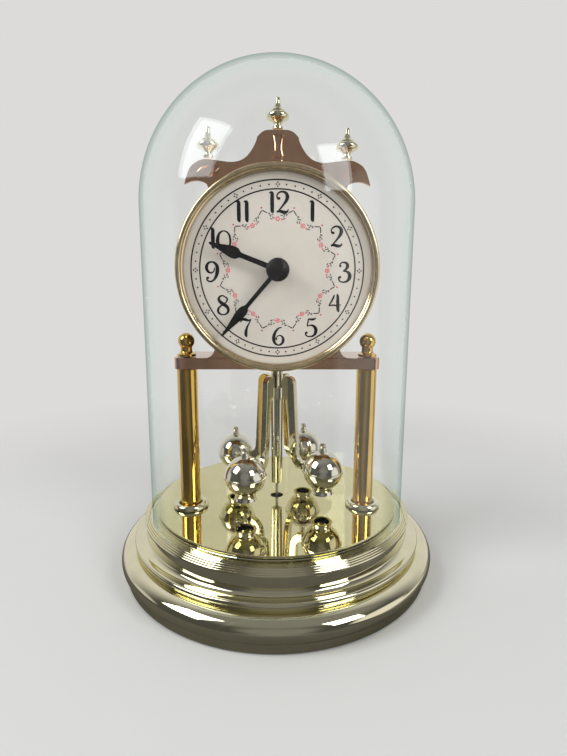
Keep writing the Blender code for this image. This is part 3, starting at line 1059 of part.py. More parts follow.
def make_hands(shop):
    """Centre arbor with the minute hand and cap, and the hour pipe with the hour hand."""
    centre = facing_front(0.0, DIAL_Z)
    half_extra = (PINION_LENGTH - WHEEL_THICKNESS) / 2
    arbor_stages = ((ARBOR_FRONT_DEPTH, CENTRE_ARBOR_RADIUS),
                    (CANNON_STAGE_DEPTH + WHEEL_THICKNESS + half_extra, CANNON_PINION_RADIUS),
                    (CANNON_STAGE_DEPTH - half_extra, CENTRE_ARBOR_RADIUS),
                    (CENTRE_STAGE_DEPTH + WHEEL_THICKNESS, CENTRE_WHEEL_RADIUS),
                    (CENTRE_STAGE_DEPTH, CENTRE_ARBOR_RADIUS))
    arbor = turned_part(shop, "centre_arbor", wheel_profile(arbor_stages, ARBOR_END_DEPTH), "steel", centre)
    pipe_front = HOUR_HAND_DEPTH + HAND_THICKNESS
    pipe = [(HOUR_PIPE_RADIUS, pipe_front), (HOUR_PIPE_RADIUS, HOUR_STAGE_FRONT_DEPTH),
            (HOUR_WHEEL_RADIUS, HOUR_STAGE_FRONT_DEPTH), (HOUR_WHEEL_RADIUS, HOUR_STAGE_DEPTH),
            (HOUR_PIPE_BORE_RADIUS, HOUR_STAGE_DEPTH), (HOUR_PIPE_BORE_RADIUS, pipe_front)]
    hour_pipe = turned_part(shop, "hour_pipe", pipe, "brass", centre, closed=True)
    hour_mesh = hand_mesh("hour_hand", HOUR_HAND_LENGTH, HOUR_HAND_WIDTH, HOUR_HAND_BOSS_RADIUS,
                          HOUR_PIPE_RADIUS + CLEARANCE, HOUR_HAND_DEPTH)
    hour_turn = Matrix.Rotation(HOUR_HAND_ANGLE - math.pi / 2, 4, "Z")
    hour_hand = shop.part("hour_hand", hour_mesh, "black_hand", centre @ hour_turn)
    hole_radius = CENTRE_ARBOR_RADIUS + CLEARANCE
    minute_mesh = hand_mesh("minute_hand", MINUTE_HAND_LENGTH, MINUTE_HAND_WIDTH, MINUTE_HAND_BOSS_RADIUS,
                            hole_radius, MINUTE_HAND_DEPTH)
    minute_turn = Matrix.Rotation(MINUTE_HAND_ANGLE - math.pi / 2, 4, "Z")
    minute_hand = shop.part("minute_hand", minute_mesh, "black_hand", centre @ minute_turn)
    hole_front = ARBOR_FRONT_DEPTH + CLEARANCE
    cap = arc(0.0, HUB_CAP_DEPTH, HUB_CAP_RADIUS, HUB_CAP_HEIGHT, 0.5 * math.pi, 0.0, 6)
    cap[0] = (0.0, HUB_CAP_FRONT_DEPTH)
    cap += [(hole_radius, HUB_CAP_DEPTH), (hole_radius, hole_front), (0.0, hole_front)]
    hub_cap = turned_part(shop, "hub_cap", cap, "black_hand", centre)
    shop.axis("hour_axis", (hour_pipe, hour_hand), centre)
    shop.axis("minute_axis", (arbor, minute_hand, hub_cap), centre)


def make_pendulum_drive(shop):
    """Bearing bush in the case, with the spindle and magnet that hang in it."""
    bush_bottom = BRIDGE_BOTTOM_Z
    bush = [(BUSH_FLANGE_RADIUS, BUSH_TOP_Z), (BUSH_FLANGE_RADIUS, BUSH_FLANGE_Z),
            (BUSH_RADIUS, BUSH_FLANGE_Z), (BUSH_RADIUS, bush_bottom),
            (SPINDLE_BORE_RADIUS, bush_bottom), (SPINDLE_BORE_RADIUS, BUSH_TOP_Z)]
    turned_part(shop, "bearing_bush", bush, "brass", None, SMALL_STEPS, closed=True)
    magnet = tube_profile(MAGNET_RADIUS, SPINDLE_BORE_RADIUS, MAGNET_BOTTOM_Z, MAGNET_TOP_Z)
    drive_magnet = turned_part(shop, "drive_magnet", magnet, "steel", None, SMALL_STEPS, closed=True)
    head_bottom = MAGNET_TOP_Z + CLEARANCE
    tip_z = MIRROR_TOP_Z - SPINDLE_TIP_DEPTH
    spindle = [(0.0, SPINDLE_TOP_Z), (SPINDLE_HEAD_RADIUS, SPINDLE_TOP_Z),
               (SPINDLE_HEAD_RADIUS, head_bottom), (SPINDLE_RADIUS, head_bottom),
               (SPINDLE_RADIUS, FLUTED_BOTTOM_Z), (SPINDLE_PIN_RADIUS, FLUTED_BOTTOM_Z - SPINDLE_RADIUS),
               (SPINDLE_PIN_RADIUS, tip_z), (0.0, tip_z)]
    pendulum_spindle = turned_part(shop, "pendulum_spindle", spindle, "steel", None, SMALL_STEPS)
    sleeve = tube_profile(SLEEVE_RADIUS, SPINDLE_BORE_RADIUS, SLEEVE_BOTTOM_Z, SLEEVE_TOP_Z)
    hanger_sleeve = turned_part(shop, "hanger_sleeve", sleeve, "champagne_metal", closed=True)
    return [drive_magnet, pendulum_spindle, hanger_sleeve]


def arm_outline():
    """Side view of one arm: up and over from the hub, then down and out to its ball."""
    shoulder_z = ARM_TOP_Z - ARM_DEPTH
    foot_z = BALL_Z + ARM_FOOT_RISE
    tip_top = BALL_Z + ARM_TIP_HALF_HEIGHT
    tip_bottom = BALL_Z - ARM_TIP_HALF_HEIGHT
    inner_foot = ARM_FOOT_RADIUS - ARM_DEPTH
    inner_top = ARM_TOP_RADIUS - ARM_DEPTH
    foot_reach = ARM_TIP_RADIUS - ARM_FOOT_RADIUS
    root = HUB_RADIUS - ARM_WIDTH / 2
    outline = [(root, HUB_TOP_Z)]
    outline += arc(inner_top, shoulder_z, ARM_DEPTH, ARM_DEPTH, ARM_SHOULDER_ANGLE, 0.0, 6)
    outline += arc(ARM_TIP_RADIUS, foot_z, foot_reach, foot_z - tip_top, math.pi, 1.5 * math.pi, 5)
    outline += arc(ARM_TIP_RADIUS, foot_z, ARM_TIP_RADIUS - inner_foot, foot_z - tip_bottom,
                   1.5 * math.pi, math.pi, 6)
    outline += [(inner_top, HUB_BOTTOM_Z), (root, HUB_BOTTOM_Z)]
    return outline


def make_spider(shop):
    """Hub of the pendulum with its four arms, cast as one."""
    socket_floor = HUB_TOP_Z - HUB_SOCKET_DEPTH
    socket_radius = SLEEVE_RADIUS + CLEARANCE
    hub = [(HUB_RADIUS, HUB_TOP_Z), (HUB_RADIUS, HUB_BOTTOM_Z), (SPINDLE_BORE_RADIUS, HUB_BOTTOM_Z),
           (SPINDLE_BORE_RADIUS, socket_floor), (socket_radius, socket_floor), (socket_radius, HUB_TOP_Z)]
    spider = turned_part(shop, "pendulum_spider", hub, "champagne_metal", closed=True)
    stand_up = Matrix.Rotation(math.radians(90.0), 4, "X")
    for _, _, angle in spread(BALL_COUNT, BALL_FIRST_ANGLE, BALL_CIRCLE_RADIUS):
        mesh = plate_mesh("arm", [arm_outline()], -ARM_WIDTH / 2, ARM_WIDTH / 2)
        arm = shop.cutter("arm", mesh, Matrix.Rotation(angle, 4, "Z") @ stand_up)
        boolean(spider, arm, "UNION")
    return spider


def make_fluted_column(shop):
    """Fluted, slightly tapered column under the hub."""
    count = FLUTE_COUNT * FLUTE_POINTS
    outline = []
    for index in range(count):
        angle = 2 * math.pi * index / count
        radius = FLUTED_TOP_RADIUS - FLUTE_DEPTH * (0.5 + 0.5 * math.cos(FLUTE_COUNT * angle))
        outline.append((radius * math.cos(angle), radius * math.sin(angle)))
    mesh = plate_mesh("fluted_column", [outline], FLUTED_BOTTOM_Z, FLUTED_TOP_Z)
    middle_z = (FLUTED_TOP_Z + FLUTED_BOTTOM_Z) / 2
    taper = FLUTED_BOTTOM_RADIUS / FLUTED_TOP_RADIUS
    for corner in mesh.vertices:
        if corner.co.z < middle_z:
            corner.co.x *= taper
            corner.co.y *= taper
    column = shop.part("fluted_column", mesh, "champagne_metal")
    bore = rod_profile(SPINDLE_BORE_RADIUS, FLUTED_BOTTOM_Z - OVERRUN, FLUTED_TOP_Z + OVERRUN)
    boolean(column, turned_cutter(shop, "fluted_column_bore", bore, None, SMALL_STEPS))
    return column


def ball_profile():
    """Hollow-looking ball: ringed nub, upper half, seam, lower half and open collar."""
    nub_angle = math.acos(BALL_NUB_RADIUS / BALL_RADIUS)
    collar_angle = -math.acos(BALL_COLLAR_RADIUS / BALL_RADIUS)
    seam_radius = BALL_RADIUS + BALL_SEAM_WIDTH
    seam_half = BALL_SEAM_HEIGHT / 2
    seam_angle = math.asin(seam_half / BALL_RADIUS)
    collar_bottom = -BALL_RADIUS - BALL_COLLAR_HEIGHT
    profile = [(BALL_NUB_RADIUS * r, BALL_RADIUS + BALL_NUB_HEIGHT * z) for r, z in BALL_NUB_SHARES]
    profile += arc(0.0, 0.0, BALL_RADIUS, BALL_RADIUS, nub_angle, seam_angle, BALL_ARC_POINTS)
    profile += [(seam_radius, seam_half), (seam_radius, -seam_half)]
    profile += arc(0.0, 0.0, BALL_RADIUS, BALL_RADIUS, -seam_angle, collar_angle, BALL_ARC_POINTS)
    profile += [(BALL_COLLAR_RADIUS, collar_bottom), (BALL_COLLAR_BORE_RADIUS, collar_bottom)]
    bore_top = collar_bottom + BALL_COLLAR_BORE_DEPTH
    profile += [(BALL_COLLAR_BORE_RADIUS, bore_top), (0.0, bore_top)]
    return profile


def make_balls(shop):
    """The four balls at the arms' tips."""
    profile = ball_profile()
    balls = []
    for number, (x, y, _) in enumerate(spread(BALL_COUNT, BALL_FIRST_ANGLE, BALL_CIRCLE_RADIUS), 1):
        name = "pendulum_ball_%d" % number
        balls.append(turned_part(shop, name, profile, "champagne_metal", at(x, y, BALL_Z), BALL_STEPS))
    return balls


def make_dome(shop):
    """Glass dome: a straight wall with a round top."""
    outer = arc(0.0, DOME_SHOULDER_Z, DOME_RADIUS, DOME_RADIUS, 0.5 * math.pi, 0.0, DOME_ARC_POINTS)
    outer[0] = (0.0, DOME_TOP_Z)
    inner = arc(0.0, DOME_SHOULDER_Z, DOME_INNER_RADIUS, DOME_INNER_RADIUS, 0.0, 0.5 * math.pi,
                DOME_ARC_POINTS)
    inner[-1] = (0.0, DOME_SHOULDER_Z + DOME_INNER_RADIUS)
    profile = outer + [(DOME_RADIUS, DOME_BOTTOM_Z), (DOME_INNER_RADIUS, DOME_BOTTOM_Z)] + inner
    turned_part(shop, "glass_dome", profile, "clear_glass", None, DOME_STEPS)


def main():
    """Build the whole clock."""
    clear_scene()
    shop = Workshop()
    make_base(shop)
    make_platform(shop)
    make_columns(shop)
    make_bridge(shop)
    make_crest(shop)
    make_dial(shop)
    make_movement_case(shop)
    make_battery(shop)
    make_electronics(shop)
    make_wheels(shop)
    make_hands(shop)
    pendulum = make_pendulum_drive(shop)
    pendulum += [make_spider(shop), make_fluted_column(shop)]
    pendulum += make_balls(shop)
    shop.axis("pendulum_axis", pendulum)
    make_dome(shop)


main()
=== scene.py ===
"""Anniversary clock: a four-ball pendulum clock with a printed dial under a glass dome.

The file is laid out as an add-on and is run as a script. Every length in it is in millimetres, except
where a property says otherwise, and the dial faces -Y.
"""

import math

import bpy
from bpy.props import FloatProperty, FloatVectorProperty, IntProperty, PointerProperty
from mathutils import Matrix, Vector


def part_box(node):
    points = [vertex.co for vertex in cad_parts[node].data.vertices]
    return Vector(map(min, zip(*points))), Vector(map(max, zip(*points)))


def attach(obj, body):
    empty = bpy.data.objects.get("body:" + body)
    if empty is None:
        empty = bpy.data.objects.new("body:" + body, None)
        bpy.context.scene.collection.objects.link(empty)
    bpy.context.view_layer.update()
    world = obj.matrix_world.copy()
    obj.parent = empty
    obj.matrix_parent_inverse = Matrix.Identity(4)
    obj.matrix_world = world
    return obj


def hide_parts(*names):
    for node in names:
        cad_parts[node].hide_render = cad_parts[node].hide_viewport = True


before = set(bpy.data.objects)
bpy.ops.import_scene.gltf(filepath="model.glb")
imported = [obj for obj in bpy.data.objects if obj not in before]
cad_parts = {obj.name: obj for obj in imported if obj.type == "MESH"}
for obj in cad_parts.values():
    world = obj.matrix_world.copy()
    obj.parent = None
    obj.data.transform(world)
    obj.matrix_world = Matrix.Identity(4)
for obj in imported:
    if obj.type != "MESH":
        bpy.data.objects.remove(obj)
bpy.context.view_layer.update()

bl_info = {
    "name": "Anniversary clock",
    "version": (1, 0, 0),
    "blender": (4, 5, 0),
    "location": "View3D > Sidebar > Clock",
    "description": "Dresses the clock's frame with finely turned, printed and plated pieces",
    "category": "Object",
}

MM = 0.001


def node_box(name):
    """Lowest and highest corner of a frame node, in millimetres."""
    low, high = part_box(name)
    return low / MM, high / MM


def node_middle(name):
    """Middle of a frame node, in millimetres."""
    low, high = node_box(name)
    return (low + high) / 2


# Properties

def length(name, description, default):
    """A length in metres that the sidebar can change."""
    return FloatProperty(name=name, description=description, default=default, unit="LENGTH", precision=5)


def colour(name, description, default):
    """A linear colour that the sidebar can change."""
    return FloatVectorProperty(name=name, description=description, default=default, subtype="COLOR",
                               size=3, min=0.0, max=1.0)


class ClockSizes(bpy.types.PropertyGroup):
    """Sizes that the pieces are drawn from."""

    dial_height: length("Dial height", "Height of the dial's centre", node_middle("dial").z * MM)
    bezel_radius: length("Bezel radius", "Outer radius of the bezel", node_box("bezel")[1].x * MM)
    mirror_top: length("Mirror height", "Height of the mirror plate's top", node_box("mirror_plate")[1].z * MM)
    ball_radius: length("Ball radius", "Radius of a pendulum ball", 9.4 * MM)
    ball_height: length("Ball height", "Height of the balls' centres", 48.9 * MM)
    dome_radius: length("Dome radius", "Outer radius of the glass dome", node_box("glass_dome")[1].x * MM)
    dome_wall: length("Dome wall", "Thickness of the glass", 1.8 * MM)
    turned_steps: IntProperty(name="Turned steps", description="Faces round the large turned pieces",
                              default=128, min=24, max=256)
    small_steps: IntProperty(name="Small steps", description="Faces round the small turned pieces",
                             default=64, min=16, max=128)


class ClockColours(bpy.types.PropertyGroup):
    """Colours of the finishes."""

    champagne: colour("Champagne plating", "Vacuum plating on the base and bezel", (0.80, 0.76, 0.55))
    bezel: colour("Bezel plating", "Warmer plating on the bezel", (0.80, 0.64, 0.40))
    ball: colour("Ball plating", "Brighter plating on the pendulum balls", (0.80, 0.77, 0.66))
    # The plated sheet's tone is rose-bronze plating, made darker and redder as a painted reflection of dark red
    # surroundings.
    sheet: colour("Plated sheet", "Plating on the crest and bridge", (0.66, 0.40, 0.26))
    mirror: colour("Mirror plate", "Plate under the pendulum", (0.76, 0.70, 0.40))
    brass: colour("Column brass", "Columns and ball finials", (0.74, 0.48, 0.12))
    hand: colour("Hand black", "Hands and hub cap", (0.007, 0.006, 0.006))
    # The dial paper's tone is the off-white card darkened with painted shade, the shade it lies in under the dome.
    dial: colour("Dial paper", "Printed dial", (0.52, 0.47, 0.42))
    ink: colour("Black ink", "Numerals and minute track", (0.006, 0.006, 0.007))
    rose: colour("Rose ink", "Roses on the dial", (0.50, 0.055, 0.085))
    leaf: colour("Leaf ink", "Leaves on the dial", (0.03, 0.05, 0.045))
    glass: colour("Glass edge", "Dome where it is seen edge on", (0.80, 0.93, 0.89))
    floor: colour("Floor", "Table and wall", (0.86, 0.85, 0.835))


def sizes():
    """The sizes in use."""
    return bpy.context.scene.clock_sizes


def colours():
    """The colours in use."""
    return bpy.context.scene.clock_colours


# Materials

class Nodes:
    """A material's node tree, with short calls for the nodes that the finishes share."""

    def __init__(self, name):
        self.material = bpy.data.materials.new(name)
        self.material.use_nodes = True
        self.tree = self.material.node_tree
        self.shader = self.tree.nodes["Principled BSDF"]
        self.output = self.tree.nodes["Material Output"]
        self.place = self.tree.nodes.new("ShaderNodeTexCoord").outputs["Object"]

    def add(self, kind, **settings):
        """A new node with these settings."""
        node = self.tree.nodes.new(kind)
        for key, value in settings.items():
            setattr(node, key, value)
        return node

    def link(self, source, target):
        """Join two sockets."""
        self.tree.links.new(source, target)

    def mapped(self, scale, rotation=(0.0, 0.0, 0.0), location=(0.0, 0.0, 0.0)):
        """Object coordinates moved, turned and scaled, scale in cycles per metre."""
        node = self.add("ShaderNodeMapping")
        node.inputs["Location"].default_value = location
        node.inputs["Rotation"].default_value = rotation
        node.inputs["Scale"].default_value = scale
        self.link(self.place, node.inputs["Vector"])
        return node.outputs["Vector"]

    def noise(self, vector, scale=1.0, detail=3.0, roughness=0.5):
        """A noise value."""
        node = self.add("ShaderNodeTexNoise")
        node.inputs["Scale"].default_value = scale
        node.inputs["Detail"].default_value = detail
        node.inputs["Roughness"].default_value = roughness
        self.link(vector, node.inputs["Vector"])
        return node.outputs["Fac"]

    def ranged(self, value, low, high, start=0.3, end=0.7):
        """A value spread from one range to another."""
        node = self.add("ShaderNodeMapRange")
        node.inputs["From Min"].default_value = start
        node.inputs["From Max"].default_value = end
        node.inputs["To Min"].default_value = low
        node.inputs["To Max"].default_value = high
        self.link(value, node.inputs["Value"])
        return node.outputs["Result"]

    def ramp(self, value, stops):
        """Colours along a value; each stop is a position and a colour."""
        node = self.add("ShaderNodeValToRGB")
        elements = node.color_ramp.elements
        while len(elements) < len(stops):
            elements.new(0.5)
        for element, (position, tone) in zip(elements, stops):
            element.position = position
            element.color = (*tone, 1.0)
        self.link(value, node.inputs["Fac"])
        return node.outputs["Color"]

    def maths(self, operation, first, second=None):
        """A sum, product or the like of two values."""
        node = self.add("ShaderNodeMath", operation=operation)
        for socket, value in zip(node.inputs, (first, second)):
            if value is None:
                continue
            if isinstance(value, (int, float)):
                socket.default_value = value
            else:
                self.link(value, socket)
        return node.outputs["Value"]

    def blend(self, factor, first, second):
        """Two shaders mixed by a factor."""
        node = self.add("ShaderNodeMixShader")
        self.link(factor, node.inputs["Fac"])
        self.link(first, node.inputs[1])
        self.link(second, node.inputs[2])
        return node.outputs["Shader"]

    def measured(self, place):
        """Distance from the axis, or above the origin the distance from the origin."""
        above = self.add("ShaderNodeVectorMath", operation="MAXIMUM")
        above.inputs[1].default_value = (-1.0, -1.0, 0.0)
        self.link(place, above.inputs[0])
        reach = self.add("ShaderNodeVectorMath", operation="LENGTH")
        self.link(above.outputs["Vector"], reach.inputs[0])
        return reach.outputs["Value"]

    def bump(self, height, strength, distance, normal=None):
        """A bump from a height, distance in metres."""
        node = self.add("ShaderNodeBump")
        node.inputs["Strength"].default_value = strength
        node.inputs["Distance"].default_value = distance
        self.link(height, node.inputs["Height"])
        if normal:
            self.link(normal, node.inputs["Normal"])
        return node.outputs["Normal"]

    def scratches(self, angle, cycles, edge):
        """Thin straight scratches across the piece at an angle."""
        vector = self.mapped((cycles * 0.035, cycles, cycles * 0.035), (angle, angle * 0.7, angle))
        line = self.noise(vector, 1.0, 2.0, 0.6)
        return self.ranged(line, 0.0, 1.0, edge, edge + 0.03)

    def set(self, metallic=0.0, **values):
        """Plain values on the shader's own sockets."""
        self.shader.inputs["Metallic"].default_value = metallic
        for key, value in values.items():
            self.shader.inputs[key.replace("_", " ")].default_value = value


def shade(tone, factor):
    """A colour made lighter or darker."""
    return tuple(min(1.0, channel * factor) for channel in tone)


def plated(name, tone, rough, scratch=0.25, cloud=0.05, ripple=0.16):
    """Bright plating with faint clouds, hairline scratches and finger haze."""
    nodes = Nodes(name)
    clouds = nodes.noise(nodes.mapped((70.0,) * 3), 1.0, 4.0, 0.55)
    stops = ((0.30, shade(tone, 1.0 - cloud)), (0.50, tone), (0.72, shade(tone, 1.0 + cloud)))
    nodes.link(nodes.ramp(clouds, stops), nodes.shader.inputs["Base Color"])
    haze = nodes.noise(nodes.mapped((240.0,) * 3, (0.3, 0.5, 0.1)), 1.0, 5.0, 0.6)
    lines = nodes.maths("MAXIMUM", nodes.scratches(0.6, 900.0, 0.66), nodes.scratches(-0.9, 1300.0, 0.68))
    film = nodes.ranged(haze, rough * 0.55, rough * 1.7)
    nodes.link(nodes.maths("ADD", film, nodes.maths("MULTIPLY", lines, scratch * 0.5)),
               nodes.shader.inputs["Roughness"])
    swell = nodes.noise(nodes.mapped((90.0,) * 3), 1.0, 1.0, 0.4)
    wave = nodes.bump(swell, ripple, 0.00008)
    nodes.link(nodes.bump(lines, scratch, 0.00001, wave), nodes.shader.inputs["Normal"])
    nodes.set(1.0)
    return nodes.material


def drawn_brass(name, tone, rough):
    """Polished brass tube with faint drawing lines along its length and darker tarnish."""
    nodes = Nodes(name)
    tarnish = nodes.noise(nodes.mapped((60.0, 60.0, 30.0)), 1.0, 5.0, 0.6)
    stops = ((0.28, shade(tone, 0.80)), (0.50, tone), (0.75, shade(tone, 1.12)))
    nodes.link(nodes.ramp(tarnish, stops), nodes.shader.inputs["Base Color"])
    drawn = nodes.noise(nodes.mapped((2600.0, 2600.0, 18.0)), 1.0, 2.0, 0.5)
    nodes.link(nodes.ranged(drawn, rough * 0.6, rough * 1.6), nodes.shader.inputs["Roughness"])
    nodes.link(nodes.bump(drawn, 0.18, 0.00001), nodes.shader.inputs["Normal"])
    nodes.set(1.0)
    return nodes.material


def satin_paint(name, tone, rough):
    """Satin black paint with a fine orange peel and worn, slightly greyer patches."""
    nodes = Nodes(name)
    wear = nodes.noise(nodes.mapped((180.0,) * 3), 1.0, 4.0, 0.6)
    stops = ((0.35, tone), (0.70, shade(tone, 2.2)))
    nodes.link(nodes.ramp(wear, stops), nodes.shader.inputs["Base Color"])
    peel = nodes.noise(nodes.mapped((1800.0,) * 3), 1.0, 2.0, 0.5)
    nodes.link(nodes.ranged(peel, rough * 0.8, rough * 1.25), nodes.shader.inputs["Roughness"])
    nodes.link(nodes.bump(peel, 0.12, 0.00002), nodes.shader.inputs["Normal"])
    nodes.set(0.0, Specular_IOR_Level=0.22)
    return nodes.material


def dial_paper(name, tone):
    """Off-white printed card: fine fibres, a little mottling and a faint sheen."""
    nodes = Nodes(name)
    mottle = nodes.noise(nodes.mapped((55.0,) * 3), 1.0, 5.0, 0.6)
    fibre = nodes.noise(nodes.mapped((2200.0, 900.0, 700.0), (0.0, 0.4, 0.0)), 1.0, 3.0, 0.6)
    mixed = nodes.maths("ADD", nodes.maths("MULTIPLY", mottle, 0.7), nodes.maths("MULTIPLY", fibre, 0.3))
    warm = (tone[0] * 0.97, tone[1] * 0.945, tone[2] * 0.90)
    nodes.link(nodes.ramp(mixed, ((0.36, warm), (0.52, tone), (0.66, shade(tone, 1.03)))),
               nodes.shader.inputs["Base Color"])
    nodes.link(nodes.ranged(fibre, 0.38, 0.55), nodes.shader.inputs["Roughness"])
    nodes.link(nodes.bump(fibre, 0.10, 0.00001), nodes.shader.inputs["Normal"])
    nodes.set(0.0)
    return nodes.material


def printed_ink(name, tone, rough=0.4):
    """Screen-printed ink, a little thinner here and there."""
    nodes = Nodes(name)
    cover = nodes.noise(nodes.mapped((1500.0,) * 3), 1.0, 3.0, 0.6)
    lighter = tuple(channel * 0.9 + 0.012 for channel in tone)
    nodes.link(nodes.ramp(cover, ((0.40, tone), (0.70, lighter))), nodes.shader.inputs["Base Color"])
    nodes.link(nodes.ranged(cover, rough * 0.8, rough * 1.2), nodes.shader.inputs["Roughness"])
    nodes.link(nodes.bump(cover, 0.08, 0.000008), nodes.shader.inputs["Normal"])
    nodes.set(0.0, Specular_IOR_Level=0.2)
    return nodes.material


def moulded(name, tone, rough, grain=1400.0, depth=0.00003):
    """Moulded plastic with a fine spark texture and faint flow marks."""
    nodes = Nodes(name)
    flow = nodes.noise(nodes.mapped((40.0, 40.0, 120.0)), 1.0, 4.0, 0.5)
    nodes.link(nodes.ramp(flow, ((0.30, shade(tone, 0.88)), (0.70, shade(tone, 1.12)))),
               nodes.shader.inputs["Base Color"])
    spark = nodes.noise(nodes.mapped((grain,) * 3), 1.0, 3.0, 0.6)
    nodes.link(nodes.ranged(spark, rough * 0.8, rough * 1.2), nodes.shader.inputs["Roughness"])
    nodes.link(nodes.bump(spark, 0.25, depth), nodes.shader.inputs["Normal"])
    nodes.set(0.0)
    return nodes.material


def turned_metal(name, tone, rough):
    """Turned or rolled metal with fine tool marks."""
    nodes = Nodes(name)
    marks = nodes.noise(nodes.mapped((300.0, 300.0, 5200.0)), 1.0, 2.0, 0.5)
    stain = nodes.noise(nodes.mapped((130.0,) * 3), 1.0, 5.0, 0.6)
    nodes.link(nodes.ramp(stain, ((0.30, shade(tone, 0.82)), (0.68, shade(tone, 1.08)))),
               nodes.shader.inputs["Base Color"])
    nodes.link(nodes.ranged(marks, rough * 0.7, rough * 1.4), nodes.shader.inputs["Roughness"])
    nodes.link(nodes.bump(marks, 0.25, 0.00001), nodes.shader.inputs["Normal"])
    nodes.set(1.0)
    return nodes.material


def felt_cloth(name, tone):
    """Short felt with matted fibres."""
    nodes = Nodes(name)
    fibre = nodes.noise(nodes.mapped((1500.0,) * 3), 1.0, 6.0, 0.75)
    nodes.link(nodes.ramp(fibre, ((0.30, shade(tone, 0.55)), (0.55, tone), (0.75, shade(tone, 1.9)))),
               nodes.shader.inputs["Base Color"])
    nodes.link(nodes.ranged(fibre, 0.85, 1.0), nodes.shader.inputs["Roughness"])
    nodes.link(nodes.bump(fibre, 0.8, 0.0002), nodes.shader.inputs["Normal"])
    nodes.set(0.0, Sheen_Weight=0.3)
    return nodes.material


def wound_wire(name, tone):
    """Enamelled wire wound side by side round the drive coil, with painted shade where the windings meet and a
    painted highlight on their crowns.
    """
    nodes = Nodes(name)
    wave = nodes.add("ShaderNodeTexWave", wave_type="BANDS", bands_direction="X", wave_profile="SIN")
    wave.inputs["Scale"].default_value = 1.0
    wave.inputs["Distortion"].default_value = 1.2
    nodes.link(nodes.mapped((420.0, 420.0, 420.0)), wave.inputs["Vector"])
    winding_relief_and_shade = wave.outputs["Fac"]
    # Painted light: darker where the windings meet (painted shade), lighter on their crowns (painted highlight).
    nodes.link(nodes.ramp(winding_relief_and_shade, ((0.10, shade(tone, 0.35)), (0.55, tone), (0.95, shade(tone, 1.35)))),
               nodes.shader.inputs["Base Color"])
    nodes.link(nodes.ranged(winding_relief_and_shade, 0.5, 0.25, 0.0, 1.0), nodes.shader.inputs["Roughness"])
    nodes.link(nodes.bump(winding_relief_and_shade, 0.7, 0.0001), nodes.shader.inputs["Normal"])
    nodes.set(1.0)
    return nodes.material


def battery_wrap(name, tone):
    """Plain battery jacket: a dark sleeve with a copper-coloured band at the plus end."""
    nodes = Nodes(name)
    axis = nodes.add("ShaderNodeSeparateXYZ")
    nodes.link(nodes.place, axis.inputs["Vector"])
    band = nodes.ranged(axis.outputs["X"], 0.0, 1.0, 0.0122, 0.0124)
    print_noise = nodes.noise(nodes.mapped((300.0,) * 3), 1.0, 3.0, 0.5)
    grain = nodes.maths("MULTIPLY", nodes.ranged(print_noise, 0.0, 0.06), 1.0)
    nodes.link(nodes.ramp(nodes.maths("ADD", band, grain), ((0.0, tone), (0.06, shade(tone, 1.5)),
                                                            (0.90, (0.55, 0.27, 0.12)), (1.0, (0.62, 0.33, 0.16)))),
               nodes.shader.inputs["Base Color"])
    nodes.link(nodes.ranged(print_noise, 0.25, 0.45), nodes.shader.inputs["Roughness"])
    nodes.link(nodes.bump(print_noise, 0.1, 0.00002), nodes.shader.inputs["Normal"])
    nodes.set(0.2)
    return nodes.material


def board_lacquer(name, tone):
    """Circuit board with darker tracks under the lacquer."""
    nodes = Nodes(name)
    brick = nodes.add("ShaderNodeTexBrick")
    brick.inputs["Scale"].default_value = 1.0
    brick.inputs["Mortar Size"].default_value = 0.08
    brick.inputs["Color1"].default_value = (*tone, 1.0)
    brick.inputs["Color2"].default_value = (*shade(tone, 0.8), 1.0)
    brick.inputs["Mortar"].default_value = (*shade(tone, 1.8), 1.0)
    nodes.link(nodes.mapped((260.0, 260.0, 260.0), (math.pi / 2, 0.0, 0.0)), brick.inputs["Vector"])
    nodes.link(brick.outputs["Color"], nodes.shader.inputs["Base Color"])
    nodes.link(nodes.ranged(brick.outputs["Fac"], 0.30, 0.5, 0.0, 1.0), nodes.shader.inputs["Roughness"])
    nodes.link(nodes.bump(brick.outputs["Fac"], 0.3, 0.00003), nodes.shader.inputs["Normal"])
    nodes.set(0.0)
    return nodes.material


